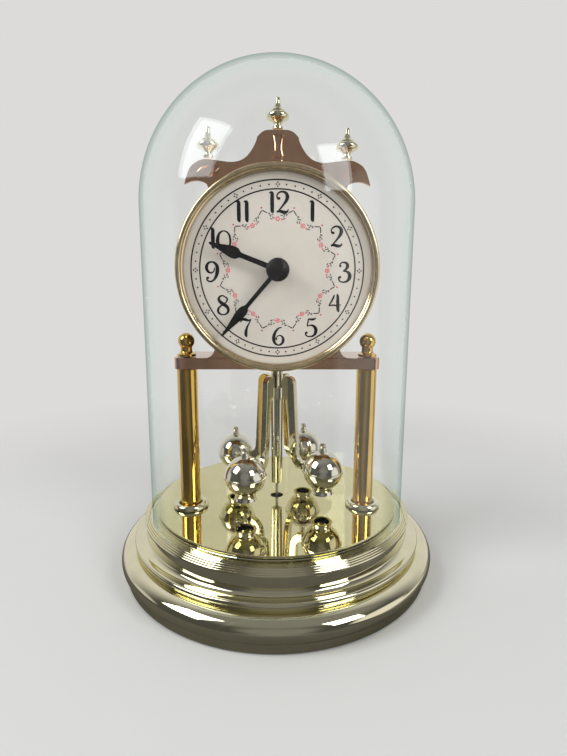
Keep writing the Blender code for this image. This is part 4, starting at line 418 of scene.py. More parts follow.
def dome_glass(name, tone):
    """Thin blown glass: clear, greenish and darker where it is seen edge on, and open to the lamps for its shadow.
    The darkening at the edge is partly the glass's own green and partly painted shade for the dark that a thick wall
    refracts.
    """
    nodes = Nodes(name)
    waves = nodes.noise(nodes.mapped((16.0, 16.0, 8.0)), 1.0, 0.0, 0.5)
    normal = nodes.bump(waves, 0.06, 0.0003)
    nodes.link(normal, nodes.shader.inputs["Normal"])
    nodes.link(normal, nodes.shader.inputs["Coat Normal"])
    edge = nodes.add("ShaderNodeLayerWeight")
    edge.inputs["Blend"].default_value = 0.5
    # Towards grazing the colour deepens: partly the glass's own green tint, partly painted shade for what a thick
    # wall would refract.
    stops = ((0.0, (0.995, 1.0, 0.998)), (0.60, (0.98, 1.0, 0.99)), (0.86, tone), (0.95, shade(tone, 0.45)))
    nodes.link(nodes.ramp(edge.outputs["Facing"], stops), nodes.shader.inputs["Base Color"])
    dust = nodes.noise(nodes.mapped((420.0,) * 3), 1.0, 6.0, 0.7)
    nodes.link(nodes.ranged(dust, 0.0, 0.03, 0.60, 0.80), nodes.shader.inputs["Roughness"])
    nodes.set(0.0, Transmission_Weight=1.0, IOR=1.03, Coat_Roughness=0.0, Coat_IOR=1.5)
    nodes.link(nodes.ranged(edge.outputs["Facing"], 0.65, 0.05, 0.78, 0.95), nodes.shader.inputs["Coat Weight"])
    path = nodes.add("ShaderNodeLightPath")
    clear = nodes.add("ShaderNodeBsdfTransparent")
    clear.inputs["Color"].default_value = (0.95, 0.965, 0.96, 1.0)
    centre = node_box("glass_dome")[1].z * MM - sizes().dome_radius
    reach = nodes.measured(nodes.mapped((1.0,) * 3, location=(0.0, 0.0, -centre)))
    outside = nodes.maths("GREATER_THAN", reach, sizes().dome_radius - sizes().dome_wall / 2)
    rim = nodes.add("ShaderNodeBsdfTransparent")
    # The outer wall darkens edge on: partly the glass's own tint, partly painted shade standing in for refraction
    # through the wall's thickness.
    lines = ((0.72, (0.985, 0.995, 0.99)), (0.78, (0.87, 0.91, 0.90)), (0.86, (0.76, 0.825, 0.81)),
             (1.0, (0.66, 0.74, 0.72)))
    grazing = nodes.maths("MULTIPLY", edge.outputs["Facing"], outside)
    nodes.link(nodes.ramp(grazing, lines), rim.inputs["Color"])
    brink = nodes.ranged(edge.outputs["Facing"], 0.0, 1.0, 0.70, 0.78)
    glass = nodes.blend(brink, nodes.shader.outputs["BSDF"], rim.outputs["BSDF"])
    whole = nodes.blend(path.outputs["Is Shadow Ray"], glass, clear.outputs["BSDF"])
    nodes.link(whole, nodes.output.inputs["Surface"])
    return nodes.material


FINISH = {}


def mix_finishes():
    """Mix every finish once."""
    tones = colours()
    FINISH["champagne"] = plated("champagne_plating", tones.champagne, 0.04, 0.25)
    FINISH["bezel"] = plated("bezel_plating", tones.bezel, 0.15, 0.12, 0.03, 0.07)
    FINISH["ball"] = plated("ball_plating", tones.ball, 0.035, 0.15)
    FINISH["sheet"] = plated("plated_sheet", tones.sheet, 0.10, 0.18, 0.04)
    FINISH["mirror"] = plated("mirror_plate", tones.mirror, 0.03, 0.20, 0.03)
    FINISH["brass"] = drawn_brass("column_brass", tones.brass, 0.075)
    FINISH["plain_brass"] = turned_metal("plain_brass", (0.70, 0.55, 0.25), 0.28)
    FINISH["hand"] = satin_paint("hand_black", tones.hand, 0.30)
    FINISH["dial"] = dial_paper("dial_paper", tones.dial)
    FINISH["ink"] = printed_ink("black_ink", tones.ink)
    FINISH["rose"] = printed_ink("rose_ink", tones.rose, 0.5)
    FINISH["rose_light"] = printed_ink("rose_ink_light", (0.66, 0.30, 0.30), 0.5)
    FINISH["leaf"] = printed_ink("leaf_ink", tones.leaf, 0.5)
    FINISH["black_plastic"] = moulded("black_plastic", (0.022, 0.022, 0.024), 0.42)
    FINISH["white_plastic"] = moulded("white_plastic", (0.70, 0.70, 0.67), 0.45)
    FINISH["steel"] = turned_metal("plain_steel", (0.55, 0.55, 0.55), 0.33)
    FINISH["board"] = board_lacquer("circuit_board", (0.05, 0.22, 0.08))
    FINISH["felt"] = felt_cloth("felt", (0.045, 0.09, 0.055))
    FINISH["copper"] = wound_wire("copper_winding", (0.62, 0.28, 0.12))
    FINISH["battery"] = battery_wrap("battery_jacket", (0.05, 0.05, 0.06))
    FINISH["glass"] = dome_glass("dome_glass", tones.glass)


NODE_FINISHES = {
    "champagne": ("base_shell", "column_collar_left", "column_collar_right", "hanger_sleeve",
                  "pendulum_spider", "fluted_column", "urn_finial_centre", "urn_finial_left",
                  "urn_finial_right"),
    "bezel": ("bezel",),
    "ball": ("pendulum_ball_1", "pendulum_ball_2", "pendulum_ball_3", "pendulum_ball_4"),
    "sheet": ("top_bridge", "crest_plate"),
    "mirror": ("mirror_plate",),
    "brass": ("column_left", "column_right", "ball_finial_left", "ball_finial_right"),
    "plain_brass": ("centre_bushing", "fixing_nut", "hour_pipe", "bearing_bush"),
    "hand": ("hour_hand", "minute_hand", "hub_cap"),
    "dial": ("dial",),
    "black_plastic": ("base_cover", "guide_cup", "movement_case", "movement_back", "battery_cover",
                      "setting_knob"),
    "white_plastic": ("dial_carrier", "step_motor", "third_wheel", "reverse_wheel"),
    "steel": ("cover_screw_1", "cover_screw_2", "cover_screw_3", "ballast_ring", "tie_rod_left",
              "tie_rod_right", "tie_rod_nut_left", "tie_rod_nut_right", "battery_contact_plus",
              "battery_contact_minus", "centre_arbor", "drive_magnet", "pendulum_spindle"),
    "board": ("circuit_board",),
    "felt": ("foot_pad_1", "foot_pad_2", "foot_pad_3", "foot_pad_4"),
    "copper": ("pendulum_coil",),
    "battery": ("battery",),
    "glass": ("glass_dome",),
}


# Drawing and turning

def start_clean():
    """Leave edit mode and select nothing."""
    if bpy.context.object and bpy.context.object.mode != "OBJECT":
        bpy.ops.object.mode_set(mode="OBJECT")
    bpy.ops.object.select_all(action="DESELECT")


def draw(points, closed=False):
    """Draw a chain of edges with the extrude tool, in the object being edited or in a new one."""
    start = Vector(points[0]) * MM
    editing = bpy.context.object and bpy.context.object.mode == "EDIT"
    if editing:
        bpy.ops.mesh.select_all(action="DESELECT")
        bpy.ops.mesh.primitive_plane_add(size=MM, location=start)
    else:
        start_clean()
        bpy.ops.mesh.primitive_plane_add(size=MM, location=start)
        bpy.ops.object.mode_set(mode="EDIT")
    bpy.ops.mesh.merge(type="CENTER")
    path = list(points) + ([points[0]] if closed else [])
    for before, after in zip(path, path[1:]):
        step = (Vector(after) - Vector(before)) * MM
        bpy.ops.mesh.extrude_vertices_move(TRANSFORM_OT_translate={"value": step})


def tidy_mesh(threshold=0.002):
    """Merge doubles, then turn every face outwards."""
    bpy.ops.mesh.select_all(action="SELECT")
    bpy.ops.mesh.remove_doubles(threshold=threshold * MM)
    bpy.ops.mesh.normals_make_consistent(inside=False)


def settle(name):
    """Leave edit mode, name the piece and put its place into its mesh."""
    bpy.ops.object.mode_set(mode="OBJECT")
    piece = bpy.context.object
    piece.name = name
    piece.data.name = name
    bpy.ops.object.transform_apply(location=True, rotation=True, scale=True)
    return piece


def turn(name, profile, centre=(0.0, 0.0, 0.0), front=False, steps=None):
    """Spin a profile of radius and height, or radius and depth where it faces the front."""
    steps = steps or sizes().turned_steps
    if front:
        points = [(centre[0] + r, centre[1] - h, centre[2]) for r, h in profile]
        axis = (0.0, -1.0, 0.0)
    else:
        points = [(centre[0] + r, centre[1], centre[2] + h) for r, h in profile]
        axis = (0.0, 0.0, 1.0)
    draw(points)
    bpy.ops.mesh.select_all(action="SELECT")
    bpy.ops.mesh.spin(steps=steps, dupli=False, angle=2 * math.pi, center=Vector(centre) * MM, axis=axis)
    tidy_mesh()
    return settle(name)


def sheet(name, loops, low, high, upright=True, bevel=0.0, segments=2):
    """Fill flat outlines, holes included, and extrude them. Upright ones stand in XZ and run in depth."""
    start_clean()
    for index, loop in enumerate(loops):
        points = [(x, -low, z) for x, z in loop] if upright else [(x, z, low) for x, z in loop]
        draw(points, closed=True)
    bpy.ops.mesh.select_all(action="SELECT")
    bpy.ops.mesh.remove_doubles(threshold=0.002 * MM)
    if len(loops) == 1:
        bpy.ops.mesh.edge_face_add()
    else:
        bpy.ops.mesh.fill(use_beauty=True)
    bpy.ops.mesh.select_all(action="SELECT")
    rise = (high - low) * MM
    step = (0.0, -rise, 0.0) if upright else (0.0, 0.0, rise)
    bpy.ops.mesh.extrude_region_move(TRANSFORM_OT_translate={"value": step})
    tidy_mesh()
    piece = settle(name)
    if bevel:
        round_edges(piece, bevel, segments)
    return piece


def block(name, low, high, bevel, segments=3):
    """A moulded block between two corners, its edges rounded."""
    start_clean()
    low, high = Vector(low), Vector(high)
    bpy.ops.mesh.primitive_cube_add(size=1.0, location=(low + high) / 2 * MM)
    bpy.ops.object.mode_set(mode="EDIT")
    bpy.ops.mesh.select_all(action="SELECT")
    bpy.ops.transform.resize(value=(high - low) * MM)
    bpy.ops.mesh.bevel(offset=bevel * MM, segments=segments, affect="EDGES")
    tidy_mesh(0.0005)
    return settle(name)


def use(piece):
    """Make a piece the only selected one."""
    start_clean()
    piece.select_set(True)
    bpy.context.view_layer.objects.active = piece
    return piece


def apply_modifier(piece, kind, **settings):
    """Add a modifier and apply it."""
    use(piece)
    modifier = piece.modifiers.new(kind.lower(), kind)
    for key, value in settings.items():
        setattr(modifier, key, value)
    bpy.ops.object.modifier_apply(modifier=modifier.name)
    return piece


def round_edges(piece, width, segments=2, angle=35.0):
    """Round the sharp edges."""
    return apply_modifier(piece, "BEVEL", width=width * MM, segments=segments, limit_method="ANGLE",
                          angle_limit=math.radians(angle), use_clamp_overlap=True)


def cut(piece, tool, operation="DIFFERENCE"):
    """Cut a piece with a tool, or join the two, and put the tool away."""
    apply_modifier(piece, "BOOLEAN", operation=operation, object=tool, solver="EXACT")
    bpy.data.objects.remove(tool, do_unlink=True)
    return piece


def join(name, pieces):
    """Join pieces into one."""
    start_clean()
    for piece in pieces:
        piece.select_set(True)
    bpy.context.view_layer.objects.active = pieces[0]
    if len(pieces) > 1:
        bpy.ops.object.join()
    joined = bpy.context.object
    joined.name = name
    joined.data.name = name
    return joined


def copied(piece, name, matrix):
    """A copy with its own mesh, moved or turned by a matrix in metres."""
    use(piece)
    bpy.ops.object.duplicate(linked=False)
    copy = bpy.context.object
    copy.name = name
    copy.data.name = name
    copy.matrix_world = matrix
    bpy.ops.object.transform_apply(location=True, rotation=True, scale=True)
    return copy


def moved(x=0.0, y=0.0, z=0.0):
    """A move, in millimetres."""
    return Matrix.Translation(Vector((x, y, z)) * MM)


def turned(angle, axis="Z", x=0.0, y=0.0, z=0.0):
    """A turn in degrees round a line through a point in millimetres."""
    return moved(x, y, z) @ Matrix.Rotation(math.radians(angle), 4, axis) @ moved(-x, -y, -z)


def finish(piece, finish_name, body="frame", *nodes, angle=32.0):
    """Smooth a piece, give it its finish and slot, let it ride and hide the frame nodes that it stands for."""
    use(piece)
    bpy.ops.object.shade_smooth_by_angle(angle=math.radians(angle))
    if finish_name != "glass":
        apply_modifier(piece, "WEIGHTED_NORMAL", mode="FACE_AREA", weight=50, keep_sharp=True)
    piece.data.materials.clear()
    piece.data.materials.append(FINISH[finish_name])
    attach(piece, body)
    if nodes:
        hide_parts(*nodes)
    return piece


def arc(centre_r, centre_h, half_width, half_height, start, end, count):
    """Points of an elliptical arc, angles in degrees, ends included."""
    points = []
    for step in range(count + 1):
        angle = math.radians(start + (end - start) * step / count)
        points.append((centre_r + half_width * math.cos(angle), centre_h + half_height * math.sin(angle)))
    return points


def curve_through(points, steps):
    """A smooth Catmull-Rom curve through the points."""
    ends = [points[0]] + list(points) + [points[-1]]
    path = []
    for index in range(1, len(ends) - 2):
        before, start, end, after = (Vector(ends[index + offset]) for offset in (-1, 0, 1, 2))
        for step in range(steps):
            t = step / steps
            path.append(0.5 * (2 * start + (end - before) * t
                               + (2 * before - 5 * start + 4 * end - after) * t ** 2
                               + (3 * start - before - 3 * end + after) * t ** 3))
    path.append(Vector(points[-1]))
    return [tuple(point) for point in path]


def mirrored(half):
    """Close an outline whose half starts and ends on the middle line."""
    return list(half) + [(-x, z) for x, z in reversed(half) if x > 0.0005]


def ring(radius, count, x=0.0, z=0.0):
    """A round outline."""
    return [(x + radius * math.cos(2 * math.pi * i / count), z + radius * math.sin(2 * math.pi * i / count))
            for i in range(count)]


class PieceOperator(bpy.types.Operator):
    """Shared settings of the operators that make pieces."""

    bl_options = {"REGISTER", "UNDO"}


# Base

RIM_RIDGES = 4


def base_profile():
    """The base's section: platform, channel, ridged rim, band, cove, bead, groove, flare, lip and hollow."""
    profile = [(4.3, 29.0), (58.4, 29.0), (58.6, 28.8), (58.6, 26.6), (62.0, 26.6), (62.0, 27.6)]
    for ridge in range(RIM_RIDGES):
        r, z = 62.0 + 0.7 * ridge, 27.86 - 0.525 * ridge
        profile += [(r + 0.02, z - 0.16), (r + 0.14, z + 0.02), (r + 0.35, z + 0.08), (r + 0.56, z - 0.16),
                    (r + 0.68, z - 0.50)]
    profile += [(64.8, 25.75), (64.8, 25.25), (64.65, 25.1), (64.1, 25.1), (64.1, 20.0)]
    profile += arc(67.4, 19.8, 3.3, 2.2, 180.0, 270.0, 12)
    profile += arc(68.4, 16.3, 1.2, 1.3, 90.0, -90.0, 14)
    profile += [(68.25, 14.9), (68.25, 14.1), (68.6, 14.0)]
    profile += arc(70.0, 8.5, 6.0, 5.5, 90.0, -38.0, 30)
    profile += [(73.95, 4.6), (73.8, 4.2), (73.8, 0.9), (73.55, 0.6), (71.6, 0.6), (71.6, 4.5), (69.4, 4.5),
                (69.4, 8.5), (66.2, 11.8), (66.2, 15.0), (61.9, 16.5), (61.9, 24.4), (56.4, 24.4),
                (56.4, 26.8), (4.3, 26.8), (4.3, 29.0)]
    return profile


class CLOCK_OT_base(PieceOperator):
    """Turn the stepped base with its ridged rim and flared foot."""

    bl_idname = "clock.base"
    bl_label = "Base"

    def execute(self, context):
        base = turn("base_turned", base_profile(), steps=160)
        finish(base, "champagne", "frame", "base_shell", angle=28.0)
        return {"FINISHED"}


class CLOCK_OT_mirror_plate(PieceOperator):
    """Turn the mirror plate with its guide hole and the holes under the columns."""

    bl_idname = "clock.mirror_plate"
    bl_label = "Mirror plate"

    def execute(self, context):
        top = sizes().mirror_top / MM
        bottom = node_box("mirror_plate")[0].z
        rim = node_box("mirror_plate")[1].x
        profile = [(3.1, bottom), (rim - 0.1, bottom), (rim, bottom + 0.1), (rim, top - 0.35),
                   (rim - 0.08, top - 0.12), (rim - 0.3, top), (rim - 0.5, top), (3.7, top), (3.4, top),
                   (3.2, top - 0.08), (3.1, top - 0.3), (3.1, bottom)]
        plate = turn("mirror_plate_polished", profile)
        for side in (-1, 1):
            x = side * node_middle("column_right").x
            tool = turn("rod_drill", [(0.0, bottom - 1), (1.9, bottom - 1), (1.9, top + 1), (0.0, top + 1)],
                        (x, node_middle("column_right").y, 0.0), steps=24)
            cut(plate, tool)
        finish(plate, "mirror", "frame", "mirror_plate")
        return {"FINISHED"}


# Columns, bridge and finials

class CLOCK_OT_columns(PieceOperator):
    """Turn the brass columns with their foot collars and ball finials."""

    bl_idname = "clock.columns"
    bl_label = "Columns"

    def execute(self, context):
        low, high = node_box("column_right")
        x, y = node_middle("column_right").x, node_middle("column_right").y
        radius = (high.x - low.x) / 2
        tube = [(1.9, low.z), (radius - 0.25, low.z), (radius, low.z + 0.25)]
        tube += [(radius, high.z - 0.3), (radius - 0.3, high.z), (1.9, high.z), (1.9, low.z)]
        column = turn("column_tube_right", tube, (x, y, 0.0), steps=sizes().small_steps)
        collar_ring = arc(6.575, low.z, 1.625, 2.4, 180.0, 0.0, 20)
        collar = turn("foot_collar_right", collar_ring + collar_ring[:1], (x, y, 0.0), steps=72)
        foot = node_box("ball_finial_right")[0].z
        middle = foot + 6.85
        ball = [(0.0, middle + 3.75)] + arc(0.0, middle, 3.75, 3.75, 82.0, -46.0, 20)
        ball += arc(4.15, foot + 2.55, 1.55, 1.35, 176.0, 265.0, 8)
        ball += [(4.3, foot + 1.05), (4.3, foot + 0.15), (4.15, foot), (1.8, foot), (1.8, middle - 1.2),
                 (0.0, middle - 1.2)]
        finial = turn("ball_finial_turned_right", ball, (x, y, 0.0), steps=sizes().small_steps)
        across = moved(-2 * x)
        sides = {"right": (column, collar, finial)}
        sides["left"] = (copied(column, "column_tube_left", across), copied(collar, "foot_collar_left", across),
                         copied(finial, "ball_finial_turned_left", across))
        for side, (tube_piece, collar_piece, ball_piece) in sides.items():
            finish(tube_piece, "brass", "frame", "column_" + side)
            finish(collar_piece, "champagne", "frame", "column_collar_" + side)
            finish(ball_piece, "brass", "frame", "ball_finial_" + side)
        return {"FINISHED"}


class CLOCK_OT_bridge(PieceOperator):
    """Fold up the bridge: a bar with rounded ends and an upstand that sweeps up behind the bezel."""

    bl_idname = "clock.bridge"
    bl_label = "Top bridge"

    def execute(self, context):
        low, high = node_box("top_bridge")
        half, front, back, corner = high.x + 1.0, -low.y - 0.1, -high.y, 3.0
        bar_top = node_box("ball_finial_right")[0].z - 0.3
        outline = []
        for cx, cy, start in ((half - corner, -front + corner, -90.0), (half - corner, -back - corner, 0.0),
                              (-half + corner, -back - corner, 90.0), (-half + corner, -front + corner, 180.0)):
            outline += arc(cx, cy, corner, corner, start, start + 90.0, 10)
        rod_x, rod_y = node_middle("column_right").x, node_middle("column_right").y
        holes = [ring(1.9, 24, rod_x, rod_y), ring(1.9, 24, -rod_x, rod_y), ring(3.0, 24)]
        bar = sheet("bridge_bar", [outline] + holes, low.z, bar_top, upright=False, bevel=0.28)
        rise, fillet = 32.5, 4.5
        side = [(0.0, high.z), (rise - fillet - 0.3, high.z), (rise - fillet, high.z - 0.3)]
        side += arc(rise, bar_top + fillet, fillet, fillet, 180.0, 270.0, 14)
        side += [(rise + 0.3, bar_top), (0.0, bar_top)]
        wall = sheet("bridge_upstand", [mirrored(side)], front - 1.7, front + 0.1, bevel=0.15)
        piece = join("bridge_pressed", [bar, wall])
        finish(piece, "sheet", "frame", "top_bridge")
        return {"FINISHED"}


CREST_CROWN = ((0.0, 198.0), (4.0, 197.95), (6.0, 197.4), (7.4, 196.4), (8.6, 195.2))
CREST_SHOULDER = ((8.6, 195.2), (9.0, 193.7), (10.4, 190.9), (12.7, 187.9), (15.6, 186.0), (19.8, 185.3),
                  (25.5, 185.9), (30.7, 186.3), (34.5, 184.9), (36.8, 182.8), (38.2, 179.6), (39.2, 176.4))
CREST_UNDERSIDE = ((39.2, 176.4), (36.5, 177.5), (34.0, 177.8), (31.6, 177.4), (29.9, 176.6))


# Lines of the vase relief, right half: distance from the middle and drop from its top
VASE_LINES = (((1.95, 0.0), (1.6, 1.8), (1.3, 4.2), (1.45, 6.4), (1.95, 8.0)),
              ((0.0, 8.3), (1.0, 8.5), (1.95, 8.0)), ((0.0, -0.3), (1.0, -0.45), (1.95, 0.0)),
              ((1.45, 9.7), (1.75, 10.5)))


def bead_line(name, points, radius):
    """A raised line through the points, round in section."""
    start_clean()
    bpy.ops.curve.primitive_bezier_curve_add(location=(0.0, 0.0, 0.0))
    data = bpy.context.object.data
    data.splines.clear()
    data.dimensions = "3D"
    data.bevel_depth = radius * MM
    data.bevel_resolution = 2
    data.resolution_u = 5
    data.use_fill_caps = True
    spline = data.splines.new("BEZIER")
    spline.bezier_points.add(len(points) - 1)
    for point, place in zip(spline.bezier_points, points):
        point.co = Vector(place) * MM
        point.handle_left_type = "AUTO"
        point.handle_right_type = "AUTO"
    bpy.ops.object.convert(target="MESH")
    bpy.ops.object.mode_set(mode="EDIT")
    tidy_mesh(0.0005)
    return settle(name)


class CLOCK_OT_crest(PieceOperator):
    """Cut the crest plate and press its vase and almond reliefs."""

    bl_idname = "clock.crest"
    bl_label = "Crest plate"

    def execute(self, context):
        low, high = node_box("crest_plate")
        centre = sizes().dial_height / MM
        front, back = -low.y, -high.y
        radius = high.x
        half = curve_through(CREST_CROWN, 4) + curve_through(CREST_SHOULDER, 4)[1:]
        half += curve_through(CREST_UNDERSIDE, 3)[1:]
        start = math.degrees(math.atan2(half[-1][1] - centre, half[-1][0]))
        foot = low.z
        end = math.degrees(math.asin((foot - centre) / radius))
        half += arc(0.0, centre, radius, radius, start, end, 60)[1:]
        half += [(0.0, foot)]
        plate = sheet("crest_plate_cut", [mirrored(half), ring(4.3, 32, 0.0, centre)], back, front, bevel=0.22)
        beads = []
        for points in VASE_LINES:
            for side in (-1, 1):
                beads.append(bead_line("vase_line", [(side * x, -front, high.z - 2.2 - drop)
                                                     for x, drop in points], 0.42))
        for side in (-1, 1):
            for lid in (1, -1):
                eye = [(side * (28.9 + along), -front, 182.0 + lid * 2.0 * (1.0 - (along / 4.6) ** 2) - 0.16 * along)
                       for along in (-4.6, -2.6, 0.0, 2.6, 4.6)]
                beads.append(bead_line("almond_line", eye, 0.40))
            pupil = [(side * (28.9 + along), -front, 182.0 - 0.16 * along) for along in (-2.0, 0.0, 2.0)]
            beads.append(bead_line("almond_middle", pupil, 0.42))
        piece = join("crest_pressed", [plate] + beads)
        finish(piece, "sheet", "frame", "crest_plate")
        return {"FINISHED"}


class CLOCK_OT_urns(PieceOperator):
    """Turn the three urn finials on the crest."""

    bl_idname = "clock.urns"
    bl_label = "Urn finials"

    def execute(self, context):
        foot = node_box("urn_finial_centre")[0]
        top = node_box("urn_finial_centre")[1]
        height = top.z - foot.z
        profile = [(0.0, 0.0), (2.1, 0.0), (2.25, 0.15), (2.25, 0.85), (2.0, 1.1), (1.5, 1.45), (1.42, 1.9),
                   (1.7, 2.35), (2.5, 2.9), (3.4, 3.5)]
        profile += arc(3.0, 4.9, 1.7, 1.5, -55.0, 68.0, 14)
        profile += [(3.1, 6.55), (2.9, 6.9), (2.95, 7.15), (2.7, 7.35), (1.9, 7.9), (1.45, 8.8), (1.15, 9.6),
                    (1.0, 9.85), (1.02, 10.3), (0.95, height - 0.35), (0.78, height - 0.08), (0.0, height)]
        centre = turn("urn_turned_centre", profile, (0.0, node_middle("urn_finial_centre").y, foot.z),
                      steps=48)
        names = {"centre": centre}
        for side in ("left", "right"):
            low, high = node_box("urn_finial_" + side)
            shift = moved((low.x + high.x) / 2, 0.0, low.z - foot.z)
            names[side] = copied(centre, "urn_turned_" + side, shift)
        for side, piece in names.items():
            finish(piece, "champagne", "frame", "urn_finial_" + side)
        return {"FINISHED"}


# Dial

class CLOCK_OT_bezel(PieceOperator):
    """Turn the bezel: a round bead, a fine step and a flat inner lip."""

    bl_idname = "clock.bezel"
    bl_label = "Bezel"

    def execute(self, context):
        outer = sizes().bezel_radius / MM
        low, high = node_box("bezel")
        back, crown = -high.y, -low.y
        inner = outer - 3.1
        lip = 20.0
        profile = [(inner, lip), (inner, crown - 2.4), (inner + 0.06, crown - 2.0), (inner + 0.35, crown - 1.75),
                   (inner + 0.55, crown - 1.60)]
        profile += arc(outer - 1.25, crown - 1.25, 1.25, 1.25, 165.0, 0.0, 18)
        profile += [(outer, crown - 2.6), (outer - 0.12, crown - 2.8), (outer - 0.12, crown - 3.1),
                    (outer, crown - 3.3), (outer, back + 0.15), (outer - 0.15, back), (outer - 1.4, back),
                    (outer - 1.4, lip), (inner, lip)]
        bezel = turn("bezel_turned", profile, (0.0, 0.0, sizes().dial_height / MM), front=True, steps=144)
        finish(bezel, "bezel", "frame", "bezel")
        return {"FINISHED"}


class CLOCK_OT_dial(PieceOperator):
    """Stamp the dial card with its centre hole."""

    bl_idname = "clock.dial"
    bl_label = "Dial card"

    def execute(self, context):
        low, high = node_box("dial")
        profile = [(2.9, -high.y), (high.x, -high.y), (high.x, -low.y - 0.05), (high.x - 0.05, -low.y),
                   (2.95, -low.y), (2.9, -low.y - 0.05), (2.9, -high.y)]
        dial = turn("dial_card", profile, (0.0, 0.0, sizes().dial_height / MM), front=True)
        finish(dial, "dial", "frame", "dial")
        return {"FINISHED"}


# Pen strokes of the numerals: x, height and pen width, as shares of the numeral's height
STROKES = {
    "0": [[(0.35, 0.99, 0.045), (0.16, 0.89, 0.075), (0.05, 0.62, 0.12), (0.05, 0.38, 0.13),
           (0.15, 0.12, 0.085), (0.35, 0.015, 0.045), (0.55, 0.12, 0.060), (0.655, 0.38, 0.075),
           (0.655, 0.62, 0.075), (0.55, 0.89, 0.060), (0.35, 0.99, 0.045)]],
    "1": [[(0.00, 0.92, 0.035), (0.06, 0.955, 0.060), (0.14, 0.985, 0.050)],
          [(0.155, 1.00, 0.035), (0.15, 0.90, 0.125), (0.145, 0.60, 0.135), (0.15, 0.30, 0.135),
           (0.16, 0.08, 0.125), (0.20, -0.01, 0.030)]],
    "2": [[(0.20, 0.70, 0.075), (0.12, 0.68, 0.095), (0.05, 0.74, 0.050), (0.07, 0.87, 0.050),
           (0.20, 0.975, 0.060), (0.36, 0.985, 0.075), (0.50, 0.90, 0.110), (0.545, 0.76, 0.135),
           (0.50, 0.60, 0.115), (0.38, 0.42, 0.075), (0.20, 0.20, 0.055), (0.06, 0.035, 0.045)],
          [(0.03, 0.045, 0.050), (0.14, 0.095, 0.085), (0.26, 0.075, 0.110), (0.42, 0.045, 0.115),
           (0.54, 0.080, 0.070), (0.60, 0.19, 0.030)]],
    "3": [[(0.16, 0.78, 0.085), (0.10, 0.82, 0.075), (0.12, 0.93, 0.045), (0.28, 0.995, 0.065),
           (0.44, 0.93, 0.105), (0.48, 0.80, 0.125), (0.40, 0.66, 0.085), (0.26, 0.56, 0.045)],
          [(0.26, 0.56, 0.045), (0.44, 0.54, 0.075), (0.58, 0.42, 0.125), (0.60, 0.26, 0.140),
           (0.50, 0.08, 0.095), (0.32, 0.010, 0.060), (0.14, 0.035, 0.055), (0.05, 0.15, 0.060),
           (0.09, 0.25, 0.095), (0.17, 0.245, 0.070)]],
    "4": [[(0.30, 0.93, 0.045), (0.25, 0.78, 0.070), (0.13, 0.54, 0.065), (0.02, 0.355, 0.045)],
          [(0.00, 0.340, 0.040), (0.22, 0.375, 0.060), (0.44, 0.360, 0.060), (0.66, 0.400, 0.035)],
          [(0.44, 0.99, 0.030), (0.48, 0.86, 0.100), (0.49, 0.60, 0.125), (0.50, 0.30, 0.130),
           (0.52, 0.10, 0.115), (0.57, -0.005, 0.030)]],
    "5": [[(0.17, 0.985, 0.050), (0.32, 0.955, 0.085), (0.46, 0.965, 0.090), (0.60, 1.03, 0.035)],
          [(0.17, 0.985, 0.045), (0.155, 0.84, 0.060), (0.13, 0.70, 0.050), (0.11, 0.575, 0.040)],
          [(0.11, 0.575, 0.035), (0.26, 0.63, 0.055), (0.44, 0.60, 0.095), (0.57, 0.46, 0.135),
           (0.585, 0.27, 0.135), (0.48, 0.08, 0.090), (0.28, 0.010, 0.055), (0.11, 0.035, 0.055),
           (0.03, 0.13, 0.060), (0.06, 0.22, 0.090), (0.14, 0.215, 0.065)]],
    "6": [[(0.50, 0.985, 0.035), (0.36, 0.965, 0.060), (0.20, 0.82, 0.090), (0.08, 0.58, 0.125),
           (0.05, 0.34, 0.140), (0.12, 0.12, 0.100), (0.30, 0.010, 0.060), (0.48, 0.08, 0.090),
           (0.575, 0.26, 0.115), (0.54, 0.44, 0.085), (0.40, 0.545, 0.050), (0.26, 0.50, 0.045),
           (0.19, 0.38, 0.060), (0.21, 0.27, 0.040)]],
    "7": [[(0.03, 0.80, 0.040), (0.07, 0.90, 0.060), (0.18, 0.975, 0.105), (0.32, 0.955, 0.120),
           (0.46, 0.915, 0.085), (0.62, 0.985, 0.035)],
          [(0.61, 0.97, 0.030), (0.50, 0.76, 0.050), (0.38, 0.52, 0.085), (0.32, 0.28, 0.125),
           (0.33, 0.09, 0.120), (0.38, -0.01, 0.030)]],
    "8": [[(0.42, 0.94, 0.055), (0.28, 0.995, 0.055), (0.12, 0.92, 0.075), (0.09, 0.78, 0.110),
           (0.20, 0.64, 0.130), (0.38, 0.52, 0.140), (0.54, 0.38, 0.125), (0.575, 0.20, 0.100),
           (0.46, 0.045, 0.065), (0.28, 0.005, 0.055), (0.10, 0.08, 0.080), (0.04, 0.23, 0.095),
           (0.12, 0.40, 0.070), (0.32, 0.545, 0.050), (0.48, 0.68, 0.055), (0.53, 0.83, 0.065),
           (0.42, 0.94, 0.055)]],
    "9": [[(0.44, 0.70, 0.040), (0.42, 0.58, 0.050), (0.34, 0.475, 0.050), (0.20, 0.46, 0.075),
           (0.07, 0.58, 0.105), (0.04, 0.76, 0.120), (0.12, 0.92, 0.085), (0.30, 0.990, 0.060),
           (0.48, 0.92, 0.095), (0.575, 0.74, 0.135), (0.575, 0.50, 0.140), (0.48, 0.22, 0.100),
           (0.30, 0.035, 0.065), (0.13, 0.035, 0.060), (0.05, 0.12, 0.060), (0.08, 0.20, 0.085),
           (0.16, 0.20, 0.060)]],
}
NUMERAL_WIDTHS = {"0": 0.80, "1": 0.335, "2": 0.66, "3": 0.66, "4": 0.68, "5": 0.66, "6": 0.66, "7": 0.66,
                  "8": 0.66, "9": 0.66}
PEN_WEIGHT = 1.40
TEN_DROP = 1.1
